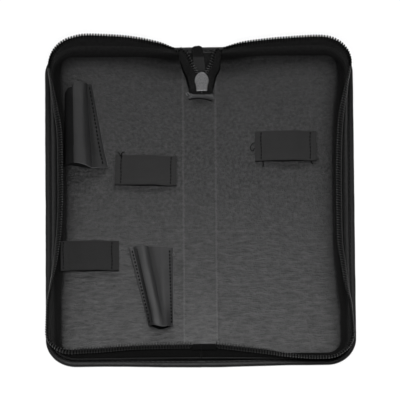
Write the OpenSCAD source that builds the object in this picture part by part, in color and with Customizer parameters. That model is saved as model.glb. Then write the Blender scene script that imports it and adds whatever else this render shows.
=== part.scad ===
// Zip-around case for drafting instruments, lying fully open, inside up.
// Two stiff covers are joined by a spine strip. A soft gusset wall with a
// coil zip stands round the covers. Sheaths and elastic loops hold the tools.
// Millimetres. +X to the right, +Y towards the slider end of the spine, +Z up.
// The origin is the middle of the spine's outer face, which rests on a table.

/* [Case] */
// Width of the open case over both covers and the spine
open_w = 191; // [190:0.5:192]
// Height of the case along the spine
case_h = 216.5; // [216:0.5:217]
// Radius of the outer corners of the covers
corner_r = 18; // [17:0.5:19]
// Width of the spine strip between the two fold lines
spine_w = 20.2; // [20.2:0.2:20.6]

/* [Layers] */
// Thickness of the outer vinyl
skin_t = 0.7; // [0.6:0.1:0.8]
// Thickness of the stiff board in each panel
board_t = 1.2; // [1:0.1:1.3]
// Thickness of the foam pad, and of the gusset's turned-in flange
pad_t = 0.5; // [0.4:0.1:0.6]
// Thickness of the lining insert
lining_t = 0.6; // [0.5:0.1:0.7]
// Width of the bound edge round the covers
binding_w = 3; // [2.8:0.1:3]

/* [Zip wall] */
// Height of the wall's free edge above the lining
wall_h = 9; // [8.8:0.1:9.2]
// Depth of the zip coil behind its teeth, as a share of the wall
coil_share = 0.27; // [0.24:0.01:0.3]

/* [Holders] */
// Width of the elastic webbing
elastic_w = 20.5; // [19:0.5:21]
// Thickness of the elastic webbing
elastic_t = 1; // [0.8:0.1:1.2]
// Height of the upper sheath's bulge over the lining, at its mouth
sheath_rise = 6.6; // [6:0.1:7]
// Thickness of the sheath vinyl
sheath_t = 0.7; // [0.6:0.1:0.8]

/* [Slider] */
// Length of the slider body along the zip
slider_len = 13.3; // [13:0.1:13.6]
// Distance of the slider body's centre from the middle of the spine
slider_x = 1.7; // [1.6:0.1:1.8]
// Length of the pull tab from its pivot to its rounded end
tab_len = 24; // [22:0.5:25]
// Width of the pull tab
tab_w = 7; // [6.6:0.1:7.2]

/* [Hidden] */
$fn = 48;
e = 0.01;
W = open_w / 2;                  // half width
yt = case_h / 2;                 // upper edge
yb = -case_h / 2;                // lower edge
xc = spine_w / 2;                // fold line
R = corner_r;
z1 = skin_t;                     // top of the skin
z2 = z1 + board_t;               // top of the board
z3 = z2 + pad_t;                 // top of the pad and flange
T = z3 + lining_t;               // top of the lining, height of the fold axis
gap = 0.1;                       // clearance at the fold lines
foot = binding_w + 0.5;          // inset of the wall's foot
rf = R - foot;
fold_x = xc + gap;

// ---- foot line of the wall on one cover, from the spine's upper end round to its lower end
L1 = W - R - xc;
La = rf * PI / 2;
L2 = yt - yb - 2 * R;
Ls = 2 * L1 + 2 * La + L2;
function foot_p(s) =
  s < L1 ? [xc + s, yt - foot] :
  s < L1 + La ? let (a = 90 - (s - L1) / rf * 180 / PI) [W - R + rf * cos(a), yt - R + rf * sin(a)] :
  s < L1 + La + L2 ? [W - foot, yt - R - (s - L1 - La)] :
  s < L1 + 2 * La + L2 ? let (a = -(s - L1 - La - L2) / rf * 180 / PI) [W - R + rf * cos(a), yb + R + rf * sin(a)] :
  [W - R - (s - L1 - 2 * La - L2), yb + foot];
function foot_n(s) =
  s < L1 ? [0, -1] :
  s < L1 + La ? let (a = 90 - (s - L1) / rf * 180 / PI) [-cos(a), -sin(a)] :
  s < L1 + La + L2 ? [-1, 0] :
  s < L1 + 2 * La + L2 ? let (a = -(s - L1 - La - L2) / rf * 180 / PI) [-cos(a), -sin(a)] :
  [0, 1];

// ---- lean of the wall's free edge towards the inside, at a distance along the foot line
lean_left = [[0, 3.5], [5, 2], [14, -2], [32, -6.3], [51, -8], [63, -8], [71, -5.5], [77, -3.3],
  [84, -1.2], [92, 0], [106, 2.4], [120, 4.7], [133, 6.5], [161, 7], [181, 7], [202, 6], [219, 4],
  [239, 0.3], [249, -2.8], [263, -3.7], [273, -3.3], [279, -0.6], [290, 2.4], [309, 3.4],
  [328, 5.7], [346, 6.5], [361, 7]];
lean_right = [[0, 3.5], [5, 2], [16, -1.6], [34, -4.2], [53, -5.7], [65, -5.3], [73, -3.8], [81, -2],
  [90, -1.2], [104, 1.8], [121, 5], [135, 6.3], [155, 7.1], [183, 7.3], [210, 6.9], [224, 5.1],
  [241, 2.8], [251, 0.4], [271, -1.3], [283, -1.9], [292, -3.4], [304, -3.9], [317, -1.7],
  [329, 1.8], [348, 5.1], [361, 7]];
function seg_of(tab, s, i = 0) = (i >= len(tab) - 2 || s < tab[i + 1][0]) ? i : seg_of(tab, s, i + 1);
function slope(tab, i) =
  let (a = max(i - 1, 0), b = min(i + 1, len(tab) - 1)) (tab[b][1] - tab[a][1]) / (tab[b][0] - tab[a][0]);
function read(tab, s) =
  let (q = min(max(s, tab[0][0]), tab[len(tab) - 1][0]), i = seg_of(tab, q),
       h = tab[i + 1][0] - tab[i][0], u = (q - tab[i][0]) / h)
  (2 * u * u * u - 3 * u * u + 1) * tab[i][1] + (u * u * u - 2 * u * u + u) * h * slope(tab, i)
  + (3 * u * u - 2 * u * u * u) * tab[i + 1][1] + (u * u * u - u * u) * h * slope(tab, i + 1);

// ---- a point of the wall: s along the foot, t from foot to free edge, o outwards from its middle
function wall_pt(tab, s, t, o) =
  let (d = read(tab, s), f = foot_p(s), n = foot_n(s),
       ti = d * (0.3 + 1.4 * t), tu = wall_h * (1.15 - 0.3 * t), g = sqrt(ti * ti + tu * tu),
       q = d * (0.3 * t + 0.7 * t * t) - o * tu / g, z = T + wall_h * (1.15 * t - 0.15 * t * t) + o * ti / g)
  [f[0] + n[0] * q, f[1] + n[1] * q, z];
function low_pt(s, q, z) = let (f = foot_p(s), n = foot_n(s)) [f[0] + n[0] * q, f[1] + n[1] * q, z];

// distances along the foot line at which the wall's sections stand
function stations(s0) = concat(
  [for (i = [0:7]) s0 + (L1 - s0) * i / 8],
  [for (i = [0:5]) L1 + La * i / 6],
  [for (i = [0:21]) L1 + La + L2 * i / 22],
  [for (i = [0:5]) L1 + La + L2 + La * i / 6],
  [for (i = [0:8]) L1 + 2 * La + L2 + (L1 - gap) * i / 8]);

// a closed solid through a list of rings with the same number of points; the two
// sides of a thin sheet are cut along the same diagonals, so they can't cross
function turned(r) = [for (i = [len(r) - 1:-1:0]) r[i]];
module skin_rings(rings, turn = false) {
  n = len(rings[0]);
  m = len(rings);
  pts = [for (r = rings) for (p = turn ? turned(r) : r) p];
  quads = [for (k = [0:m - 2]) for (i = [0:n - 1])
    [k * n + i, (k + 1) * n + i, (k + 1) * n + (i + 1) % n, k * n + (i + 1) % n, i < n / 2 ? 0 : 1]];
  // an end of a sheet is closed by a strip between its two sides
  cap = n % 2 == 1 ? [for (i = [1:n - 2]) [0, i, i + 1]] : concat(
    [for (i = [0:n / 2 - 2]) [i, i + 1, n - 1 - i]],
    [for (i = [0:n / 2 - 2]) [i + 1, n - 2 - i, n - 1 - i]]);
  z = (m - 1) * n;
  faces = concat(cap,
    [for (q = quads) q[4] == 0 ? [q[0], q[1], q[2]] : [q[0], q[1], q[3]]],
    [for (q = quads) q[4] == 0 ? [q[0], q[2], q[3]] : [q[1], q[2], q[3]]],
    [for (c = cap) [z + c[2], z + c[1], z + c[0]]]);
  polyhedron(points = pts, faces = faces, convexity = 10);
}
// section of one wall layer between two offsets and two heights
function layer(tab, s, ta, tb, oa, ob, k) = concat(
  [for (i = [0:k]) wall_pt(tab, s, ta + (tb - ta) * i / k, oa)],
  [for (i = [k:-1:0]) wall_pt(tab, s, ta + (tb - ta) * i / k, ob)]);
// section of the gusset: outer vinyl wall with its flange turned in over the board
function gusset_sec(tab, s) = concat(
  [low_pt(s, 6.5, z2), low_pt(s, -0.4, z2)],
  [for (i = [0:3]) wall_pt(tab, s, 0.5 * i / 3, 0.4 + 0.2 * i / 3)],
  [for (i = [3:-1:0]) wall_pt(tab, s, 0.5 * i / 3, 0.1 - 0.2 * (1 - i / 3))],
  [low_pt(s, 0.1, z3), low_pt(s, 6.5, z3)]);
// section of the coil's envelope, on the outer side of the tape and round its edge
function coil_sec(tab, s) = let (c = 1 - coil_share) [
  wall_pt(tab, s, c, 0.15), wall_pt(tab, s, c + 0.01, 1.1), wall_pt(tab, s, c + 0.08, 1.45),
  wall_pt(tab, s, 0.94, 1.45), wall_pt(tab, s, 0.985, 1.1), wall_pt(tab, s, 1, 0.5), wall_pt(tab, s, 0.985, 0.15)];

// ---- flat shapes of the panels, drawn for the right cover
// inset i from the outer edge, from the line x = a outwards; k and j widen the inset at the upper and lower edge
module panel(i, a, k = 0, j = 0) {
  r = R - i;
  union() {
    polygon([[a, yb + i + j], [W - R, yb + i + j], [W - R, yb + R], [W - i, yb + R], [W - i, yt - R],
      [W - R, yt - R], [W - R, yt - i - k], [a, yt - i - k]]);
    translate([W - R, yt - R]) intersection() {
      circle(r);
      translate([-1, -1]) square([r + 2, r - k + 1]);
    }
    translate([W - R, yb + R]) intersection() {
      circle(r);
      translate([-1, j - r]) square([r + 2, r - j + 1]);
    }
  }
}
// the lining insert's own outline, with small corner radii
ins_side = 9;
ins_top = 6.6;
ins_bot = 8.5;
ins_r = 8;
module insert2d(i, a) {
  x1 = W - ins_side - i;
  y1 = yt - ins_top - i;
  y0 = yb + ins_bot + i;
  r = ins_r;
  union() {
    polygon([[a, y0], [x1 - r, y0], [x1 - r, y0 + r], [x1, y0 + r], [x1, y1 - r], [x1 - r, y1 - r], [x1 - r, y1], [a, y1]]);
    translate([x1 - r, y1 - r]) circle(r);
    translate([x1 - r, y0 + r]) circle(r);
  }
}

// ---- layers of one cover, drawn for the right
module cover_skin() { linear_extrude(z1) panel(0, fold_x); }
module cover_board() { translate([0, 0, z1]) linear_extrude(board_t) panel(binding_w + 0.1, fold_x + 0.9); }
module cover_pad() { translate([0, 0, z2]) linear_extrude(pad_t) panel(10.3, fold_x + 0.9); }
module cover_lining() { translate([0, 0, z3]) linear_extrude(lining_t) insert2d(0, fold_x + 0.1); }
module cover_binding() {
  translate([0, 0, z1]) linear_extrude(T - z1) difference() {
    panel(0, fold_x);
    panel(binding_w, fold_x - 5);
  }
}
module cover_thread() {
  translate([0, 0, T]) linear_extrude(0.2) difference() {
    panel(binding_w - 0.7, fold_x + 0.4);
    panel(binding_w - 0.4, fold_x - 5);
  }
}
s_gus = 5.2;
s_zip = 4.8;
s_tail = 4.6;
module cover_gusset(tab) { skin_rings([for (s = stations(s_gus)) gusset_sec(tab, s)]); }
module cover_facing(tab) { skin_rings([for (s = stations(s_gus)) layer(tab, s, 0.05, 0.5, -0.42, -0.7, 2)]); }
module cover_tape(tab) { skin_rings([for (s = stations(s_zip)) layer(tab, s, 0.3, 0.9, -0.02, -0.38, 3)]); }
module cover_coil(tab) { skin_rings([for (s = stations(s_zip)) coil_sec(tab, s)]); }

// ---- end of the wall that crosses the spine's lower end
module end_rings(sec0, x0, x1) {
  skin_rings([for (x = [x0, (x0 + x1) / 2, x1]) [for (p = sec0) [x, p[1], p[2]]]], true);
}

// ---- elastic loops: webbing sewn down at both ends with a low bow between
module elastic(len_l, len_stitch) {
  h = 0.9;
  a = len_l / 2;
  b = a - len_stitch - 1.6;
  translate([0, elastic_w / 2, T]) rotate([90, 0, 0]) linear_extrude(elastic_w)
    polygon([[-a, 0], [-b, 0], [-b + 5, h * 0.8], [-4, h], [4, h], [b - 5, h * 0.8], [b, 0], [a, 0],
      [a, elastic_t], [b, elastic_t], [b - 5, h * 0.8 + elastic_t], [4, h + elastic_t], [-4, h + elastic_t],
      [-b + 5, h * 0.8 + elastic_t], [-b, elastic_t], [-a, elastic_t]]);
}
// a row of stitches across the webbing
module stitch_row(w, n) {
  for (i = [0:n - 1]) translate([-0.18, -w / 2 + (i + 0.5) * w / n - w / n * 0.32, 0]) cube([0.36, w / n * 0.64, 0.3]);
}
// holders: [x, y, turn, length, stitch distance from the left end and from the right end]
loop_c = [-33.3, 24, -1.5, 38];
loop_l = [-68.2, -34, 0, 36];
loop_r = [53.3, 40, 0, 38];
module at_loop(q) { translate([q[0], q[1], 0]) rotate([0, 0, q[2]]) children(); }

// ---- sheaths: tapered sleeves sewn to the lining along both sides
// section list: [y, left seam x, foot of bulge left, valley x, right seam x, rise]
sheath_u = [
  [82.4, -84.6, -83.4, -69.8, -67.2, 4.2],
  [75, -84.6, -83.4, -69.3, -66, 4.6],
  [64, -84.6, -83.4, -68.3, -64.2, 5.2],
  [52, -84.6, -83.4, -67.3, -62.2, 5.8],
  [40, -84.6, -83.4, -66.2, -60.2, 6.3],
  [26.4, -84.6, -83.4, -65, -58, 6.6]];
sheath_l = [
  [-81.5, -32.2, -30.9, -23.2, -17.4, 4.6],
  [-72, -34.4, -33, -24.8, -17.4, 5],
  [-60, -37, -35.6, -26.8, -17.4, 5.4],
  [-48, -39.6, -38.2, -28.6, -17.4, 5.7],
  [-38, -41.8, -40.4, -30, -17.4, 5.9],
  [-28.8, -43.8, -42.4, -31, -17.4, 6]];
function swell(u) = u <= 0 || u >= 1 ? 0 : pow(sin(180 * pow(u, 0.85)), 0.62);
function arch(q, k) = [for (i = [0:k]) let (u = i / k)
  [q[2] + (q[3] - q[2]) * u, q[0], T + 0.05 + q[5] / 6.6 * (sheath_rise - sheath_t) * swell(u)]];
function sheath_sec(q) =
  let (low = concat([[q[1], q[0], T + 0.05]], arch(q, 10), [[q[4], q[0], T + 0.05]]))
  concat(low, [for (i = [len(low) - 1:-1:0])
    let (a = low[max(i - 1, 0)], b = low[min(i + 1, len(low) - 1)], dx = b[0] - a[0], dz = b[2] - a[2], g = sqrt(dx * dx + dz * dz))
    low[i] + sheath_t * [-dz / g, 0, dx / g]]);
module sheath(rows) { skin_rings([for (q = rows) sheath_sec(q)], rows[0][0] < rows[1][0]); }
// stitches down one side of a sheath, from the first point to the second
module seam(a, b, n) {
  d = b - a;
  g = norm(d);
  for (i = [0:n - 1]) let (p = a + d * (i + 0.5) / n)
    translate([p[0], p[1], T + 0.08 + sheath_t]) rotate([0, 0, atan2(d[1], d[0])]) translate([-g / n * 0.32, -0.16, 0]) cube([g / n * 0.64, 0.32, 0.28]);
}

// ---- loose ends of the zip, folded in over the spine's upper end to the slider and the slit
// each row: tooth edge, middle and outer edge of the tape, given for the left side
tail = [
  [[-11.5, 103.6, 11.6], [-12.2, 103.8, 7.5], [-12.8, 104.4, 3.5]],
  [[-8.6, 101.6, 10.6], [-10.2, 100.8, 6.8], [-12.2, 101.2, 3.4]],
  [[-6.3, 98.3, 9.4], [-8.6, 97.3, 6.4], [-11.3, 97, 3.4]],
  [[-4, 94.3, 8], [-6.8, 93.3, 6.4], [-10.2, 92.6, 3.4]],
  [[-1, 90.4, 6.95], [-4.4, 89.9, 6.7], [-9, 89.4, 3.4]],
  [[0.4, 87, 6.75], [-3, 86.8, 6.75], [-8, 86.4, 3.4]],
  [[1.4, 82.5, 6.75], [-2.8, 82.5, 6.75], [-6.9, 82, 3.4]],
  [[1.62, 80, 6.75], [-2.8, 80, 6.75], [-6.3, 79.6, 3.4]],
  [[1.62, 76.9, 6.75], [-2.8, 76.9, 6.75], [-5.8, 76.9, 3.4]],
  [[1.62, 76.1, 5.6], [-2.6, 76.1, 5.6], [-5.4, 76.1, 3.4]],
  [[1.62, 75.5, 3.75], [-2.2, 75.5, 3.75], [-5, 75.5, 3.4]],
  [[1.62, 73.6, 3.55], [-2, 73.6, 3.55], [-4.6, 73.6, 3.4]]];
// the right side is the mirror image, about a line that moves from the spine's middle to the
// slider's, and a little closer at the outer edge
function flip(p, c, k) = [2 * c - p[0] - k, p[1], p[2]];
function tail_side(right) = [for (i = [0:len(tail) - 1]) let (q = tail[i], c = slider_x * min(1, (i + 1) / 4))
  right ? [flip(q[0], c, 0), flip(q[1], c, 0), flip(q[2], c, min(1, i / 4))] : q];
function start_row(tab, right) =
  [for (t = [1, 0.5, 0.07]) let (p = wall_pt(tab, s_tail, t, -0.16)) [(right ? 1 : -1) * p[0], p[1], p[2]]];
function rows(tab, right) = concat([start_row(tab, right)], tail_side(right));
function unit(v) = v / norm(v);
// outward (downward) normal of a row
function nrm(rr, k, right) =
  let (a = rr[max(k - 1, 0)][1], b = rr[min(k + 1, len(rr) - 1)][1], c = unit(cross(b - a, rr[k][1] - rr[k][0])))
  right ? -c : c;
module tape_tail(tab, right) {
  rr = rows(tab, right);
  skin_rings([for (k = [0:len(rr) - 1]) let (n = nrm(rr, k, right), ac = unit(rr[k][1] - rr[k][0]), p0 = rr[k][0] + 1.1 * ac)
    [p0 + 0.18 * n, rr[k][1] + 0.18 * n, rr[k][2] + 0.18 * n, rr[k][2] - 0.18 * n, rr[k][1] - 0.18 * n, p0 - 0.18 * n]], !right);
}
module coil_tail(tab, right) {
  rr = rows(tab, right);
  skin_rings([for (k = [0:9]) let (n = nrm(rr, k, right), ac = unit(rr[k][1] - rr[k][0]), p = rr[k][0])
    [p + 0.5 * n, p + 0.38 * n + 0.3 * ac, p + 0.38 * n + 2.3 * ac, p + 1.25 * n + 2.3 * ac, p + 1.55 * n + 1.9 * ac, p + 1.55 * n + 0.4 * ac, p + 1.25 * n]], right);
}

// ---- slider: two plates, side flanges, dividing post and crown
sy0 = 76.5;                      // rear end
sy1 = sy0 + slider_len;          // mouth
sm = 0.1;
plate = [[3.4, 0], [3.5, 2.5], [3.7, 5], [4.3, 7.6], [4.1, 9.6], [3.4, 11.4], [2.2, 12.7], [0.9, 13.25]];
function plate_pts(w) = concat(
  [for (q = plate) [q[0] - w, sy0 + w + q[1] * (slider_len - 2 * w) / 13.3]],
  [for (i = [len(plate) - 1:-1:0]) let (q = plate[i]) [-(q[0] - w), sy0 + w + q[1] * (slider_len - 2 * w) / 13.3]]);
module slider_shape() {
  translate([slider_x, 0, 0]) union() {
    // back plate, seen from inside the case
    translate([0, 0, 7.1]) linear_extrude(0.45) polygon(plate_pts(0));
    translate([0, 0, 7.55 - e]) linear_extrude(0.25 + e) polygon(plate_pts(0.35));
    // face plate
    translate([0, 0, 4.5]) linear_extrude(0.6) polygon(plate_pts(0));
    // flanges that keep the coils in
    for (m = [-1, 1]) translate([m * 3.3 - 0.3, sy0 + 0.5, 5.1 - e]) cube([0.6, 6.2, 1.25]);
    // dividing post at the mouth
    translate([0, 0, 5.1 - e]) linear_extrude(2 + 2 * e) polygon([[-0.45, sy1 - 4.3], [0.45, sy1 - 4.3], [0.75, sy1 - 2.6], [0.45, sy1 - 1], [-0.45, sy1 - 1], [-0.75, sy1 - 2.6]]);
    // crown that the pull tab hangs from
    translate([-0.8, sy0 + 3, T + 0.06]) cube([1.6, 1, 4.5 - T]);
    translate([-0.8, sy0 + 9.8, T + 0.06]) cube([1.6, 1, 4.5 - T]);
    translate([-0.8, sy0 + 3, T + 0.06]) cube([1.6, 7.8, 0.6]);
  }
}
// ---- pull tab: cross rod above the crown's bar, two cheeks and a rounded plate
tab_py = sy0 + 8.3;
tab_pz = 4.05;
tab_turn = 7;
module tab_shape() {
  translate([slider_x, tab_py, 0]) rotate([0, 0, tab_turn]) union() {
    translate([-2.7, 0, tab_pz]) rotate([0, 90, 0]) cylinder(r = 0.26, h = 5.4, $fn = 24);
    for (m = [-1, 1]) translate([m * 2.15 - 0.55, -0.3, T + 0.06]) cube([1.1, 6.1, 0.62]);
    for (m = [-1, 1]) translate([m * 2.15 - 0.55, -0.3, T + 0.06]) cube([1.1, 0.75, tab_pz - T + 0.2]);
    translate([0, 0, T + 0.06]) linear_extrude(0.62) difference() {
      union() {
        polygon([[-2.7, 5], [2.7, 5], [tab_w / 2, 7.5], [tab_w / 2, tab_len - 2.6], [-tab_w / 2, tab_len - 2.6], [-tab_w / 2, 7.5]]);
        translate([-tab_w / 2 + 2.6, tab_len - 2.6]) circle(2.6);
        translate([tab_w / 2 - 2.6, tab_len - 2.6]) circle(2.6);
        translate([-tab_w / 2 + 2.6, tab_len - 5]) square([tab_w - 5.2, 5 - e]);
      }
      translate([0, 8.4]) circle(0.9);
    }
  }
}

vinyl = [0.16, 0.16, 0.17];
cloth = [0.09, 0.09, 0.10];
grey = [0.30, 0.30, 0.31];

// ================= spine
module spine_skin() { color(vinyl) translate([-xc, yb, 0]) cube([2 * xc, yt - yb, z1]); }
module spine_board() { color([0.55, 0.5, 0.42]) translate([-xc + 1, yb + 3.1, z1]) cube([2 * xc - 2, yt - yb - 6.2, board_t]); }
module spine_pad() { color([0.2, 0.2, 0.2]) translate([-xc + 1, yb + 10.2, z2]) cube([2 * xc - 2, yt - yb - 18.2, pad_t]); }
// lining strip with the raised lip of the slit that takes the zip's ends
module spine_lining() {
  color(grey) union() {
    translate([-xc + 0.1, yb + ins_bot, z3]) cube([2 * xc - 0.2, yt - yb - ins_bot - ins_top, lining_t]);
    translate([slider_x - 8.2, 0, 0]) rotate([90, 0, 90]) linear_extrude(16.4)
      polygon([[72.2, T - e], [72.9, T - e], [73.3, 4], [75.1, 4.1], [75.2, 4.6], [73.4, 4.5]]);
  }
}
module spine_edge_bindings() {
  color(vinyl) {
    translate([-xc, yb, z1]) cube([2 * xc, binding_w, T - z1]);
    translate([-xc, yt - binding_w, z1]) cube([2 * xc, binding_w, T - z1]);
  }
}
module left_tape_tail() { color(cloth) tape_tail(lean_left, false); }
module right_tape_tail() { color(cloth) tape_tail(lean_right, true); }
module left_coil_tail() { color([0.1, 0.1, 0.1]) coil_tail(lean_left, false); }
module right_coil_tail() { color([0.1, 0.1, 0.1]) coil_tail(lean_right, true); }
s_end = Ls - gap;
module spine_end_gusset() { color(vinyl) end_rings(gusset_sec(lean_left, s_end), -xc + 0.05, xc - 0.05); }
module spine_end_facing() { color(cloth) end_rings(layer(lean_left, s_end, 0.05, 0.5, -0.42, -0.7, 2), -xc + 0.05, xc - 0.05); }
module spine_end_tape() { color(cloth) end_rings(layer(lean_left, s_end, 0.3, 0.9, -0.02, -0.38, 3), -xc + 0.05, xc - 0.05); }
module spine_end_coils() {
  color([0.1, 0.1, 0.1]) {
    end_rings(coil_sec(lean_left, s_end), -xc + 0.05, -5.6);
    end_rings(coil_sec(lean_left, s_end), 9.3, xc - 0.05);
  }
}
module spine_end_wrap() { color(cloth) end_rings(coil_sec(lean_left, s_end), -5.5, 9.2); }

// ================= left cover
module left_cover_skin() { color(vinyl) mirror([1, 0, 0]) cover_skin(); }
module left_board() { color([0.55, 0.5, 0.42]) mirror([1, 0, 0]) cover_board(); }
module left_pad() { color([0.2, 0.2, 0.2]) mirror([1, 0, 0]) cover_pad(); }
module left_lining() { color(grey) mirror([1, 0, 0]) cover_lining(); }
module left_edge_binding() { color(vinyl) mirror([1, 0, 0]) cover_binding(); }
module left_rim_thread() { color(cloth) mirror([1, 0, 0]) cover_thread(); }
module left_gusset() { color(vinyl) mirror([1, 0, 0]) cover_gusset(lean_left); }
module left_gusset_facing() { color(cloth) mirror([1, 0, 0]) cover_facing(lean_left); }
module left_zip_tape() { color(cloth) mirror([1, 0, 0]) cover_tape(lean_left); }
module left_zip_coil() { color([0.1, 0.1, 0.1]) mirror([1, 0, 0]) cover_coil(lean_left); }
module upper_sheath() { color(vinyl) sheath(sheath_u); }
module lower_sheath() { color(vinyl) sheath(sheath_l); }
module sheath_stitching() {
  color([0.35, 0.35, 0.35]) {
    seam([-68.1, 81], [-59.2, 28], 18);
    seam([-18.2, -30], [-18.2, -80.5], 17);
  }
}
module centre_elastic_loop() { color(cloth) at_loop(loop_c) elastic(loop_c[3], 3.6); }
module lower_elastic_loop() { color(cloth) at_loop(loop_l) elastic(loop_l[3], 4.4); }
module left_loop_stitching() {
  color([0.2, 0.2, 0.2]) {
    at_loop(loop_c) for (x = [-loop_c[3] / 2 + 3.6, loop_c[3] / 2 - 3.6]) translate([x, 0, T + elastic_t]) stitch_row(elastic_w - 1, 8);
    at_loop(loop_l) for (x = [-loop_l[3] / 2 + 4.4, loop_l[3] / 2 - 4.4]) translate([x, 0, T + elastic_t]) stitch_row(elastic_w - 1, 8);
  }
}

// ================= right cover
module right_cover_skin() { color(vinyl) cover_skin(); }
module right_board() { color([0.55, 0.5, 0.42]) cover_board(); }
module right_pad() { color([0.2, 0.2, 0.2]) cover_pad(); }
module right_lining() { color(grey) cover_lining(); }
module right_edge_binding() { color(vinyl) cover_binding(); }
module right_rim_thread() { color(cloth) cover_thread(); }
module right_gusset() { color(vinyl) cover_gusset(lean_right); }
module right_gusset_facing() { color(cloth) cover_facing(lean_right); }
module right_zip_tape() { color(cloth) cover_tape(lean_right); }
module right_zip_coil() { color([0.1, 0.1, 0.1]) cover_coil(lean_right); }
module right_elastic_loop() { color(cloth) at_loop(loop_r) elastic(loop_r[3], 3.8); }
module right_loop_stitching() {
  color([0.2, 0.2, 0.2]) at_loop(loop_r) for (x = [-loop_r[3] / 2 + 3.8, loop_r[3] / 2 - 3.8]) translate([x, 0, T + elastic_t]) stitch_row(elastic_w - 1, 8);
}

// ================= slider
module slider_body() { color([0.6, 0.6, 0.6]) slider_shape(); }
module pull_tab() { color([0.22, 0.22, 0.22]) tab_shape(); }

spine_skin();
spine_board();
spine_pad();
spine_lining();
spine_edge_bindings();
left_tape_tail();
right_tape_tail();
left_coil_tail();
right_coil_tail();
spine_end_gusset();
spine_end_facing();
spine_end_tape();
spine_end_coils();
spine_end_wrap();
left_cover_skin();
left_board();
left_pad();
left_lining();
left_edge_binding();
left_rim_thread();
left_gusset();
left_gusset_facing();
left_zip_tape();
left_zip_coil();
upper_sheath();
lower_sheath();
sheath_stitching();
centre_elastic_loop();
lower_elastic_loop();
left_loop_stitching();
right_cover_skin();
right_board();
right_pad();
right_lining();
right_edge_binding();
right_rim_thread();
right_gusset();
right_gusset_facing();
right_zip_tape();
right_zip_coil();
right_elastic_loop();
right_loop_stitching();
slider_body();
pull_tab();
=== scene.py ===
import math
import random

import bpy
import numpy as np
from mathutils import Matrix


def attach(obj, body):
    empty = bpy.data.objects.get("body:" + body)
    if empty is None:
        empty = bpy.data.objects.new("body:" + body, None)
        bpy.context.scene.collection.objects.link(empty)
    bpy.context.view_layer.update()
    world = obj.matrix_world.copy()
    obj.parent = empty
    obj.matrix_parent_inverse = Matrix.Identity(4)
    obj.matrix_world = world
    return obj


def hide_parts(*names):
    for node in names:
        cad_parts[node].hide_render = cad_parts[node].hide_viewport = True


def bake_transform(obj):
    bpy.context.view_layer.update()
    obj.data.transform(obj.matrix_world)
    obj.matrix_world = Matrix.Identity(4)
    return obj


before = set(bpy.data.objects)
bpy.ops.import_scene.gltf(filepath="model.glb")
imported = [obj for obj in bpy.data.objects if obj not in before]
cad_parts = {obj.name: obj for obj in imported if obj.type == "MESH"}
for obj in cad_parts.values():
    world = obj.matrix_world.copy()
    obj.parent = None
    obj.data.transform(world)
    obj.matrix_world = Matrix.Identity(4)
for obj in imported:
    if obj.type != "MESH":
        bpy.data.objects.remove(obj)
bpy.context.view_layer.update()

# ------------------------------------------------------------------ sizes in millimetres, as in the CAD
W, YT, YB, XC, T, R, FOOT, RF, H = 95.5, 108.25, -108.25, 10.1, 3.0, 18.0, 3.5, 14.5, 9.0
L1 = W - R - XC
LA = RF * math.pi / 2
L2 = YT - YB - 2 * R
LS = 2 * L1 + 2 * LA + L2
S_TAIL = 4.6
SLX = 1.7
LEAN = {
    -1: [[0, 3.5], [5, 2], [14, -2], [32, -6.3], [51, -8], [63, -8], [71, -5.5], [77, -3.3], [84, -1.2], [92, 0],
         [106, 2.4], [120, 4.7], [133, 6.5], [161, 7], [181, 7], [202, 6], [219, 4], [239, 0.3], [249, -1.6],
         [263, -2.3], [273, -2.3], [279, -0.4], [290, 3.3], [309, 4.7], [328, 6.3], [346, 6.8], [361, 7]],
    1: [[0, 3.5], [5, 2], [16, -1.6], [34, -4.2], [53, -5.7], [65, -6.1], [73, -5.0], [81, -3.2], [90, -1.2],
        [104, 1.8], [121, 5], [135, 6.3], [155, 7.1], [183, 7.3], [210, 6.9], [224, 5.1], [241, 2.8], [251, 0.4],
        [271, -1.3], [283, -1.7], [292, -2.2], [304, -2.1], [317, -0.4], [329, 2.3], [348, 5.2], [361, 7]],
}
rng = random.Random(11)
V3 = lambda *a: np.array(a, float)


def smooth(x, a, b):
    t = np.clip((np.asarray(x, float) - a) / (b - a), 0, 1)
    return t * t * (3 - 2 * t)


def unit(v):
    v = np.asarray(v, float)
    return v / np.maximum(np.linalg.norm(v, axis=-1, keepdims=True), 1e-9)


def read(tab, s):
    tab = np.array(tab, float)
    x, y = tab[:, 0], tab[:, 1]
    m = np.empty_like(y)
    m[1:-1] = (y[2:] - y[:-2]) / (x[2:] - x[:-2])
    m[0], m[-1] = (y[1] - y[0]) / (x[1] - x[0]), (y[-1] - y[-2]) / (x[-1] - x[-2])
    q = np.clip(np.asarray(s, float), x[0], x[-1])
    i = np.clip(np.searchsorted(x, q, side="right") - 1, 0, len(x) - 2)
    h = x[i + 1] - x[i]
    u = (q - x[i]) / h
    return ((2 * u**3 - 3 * u**2 + 1) * y[i] + (u**3 - 2 * u**2 + u) * h * m[i]
            + (3 * u**2 - 2 * u**3) * y[i + 1] + (u**3 - u**2) * h * m[i + 1])


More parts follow.
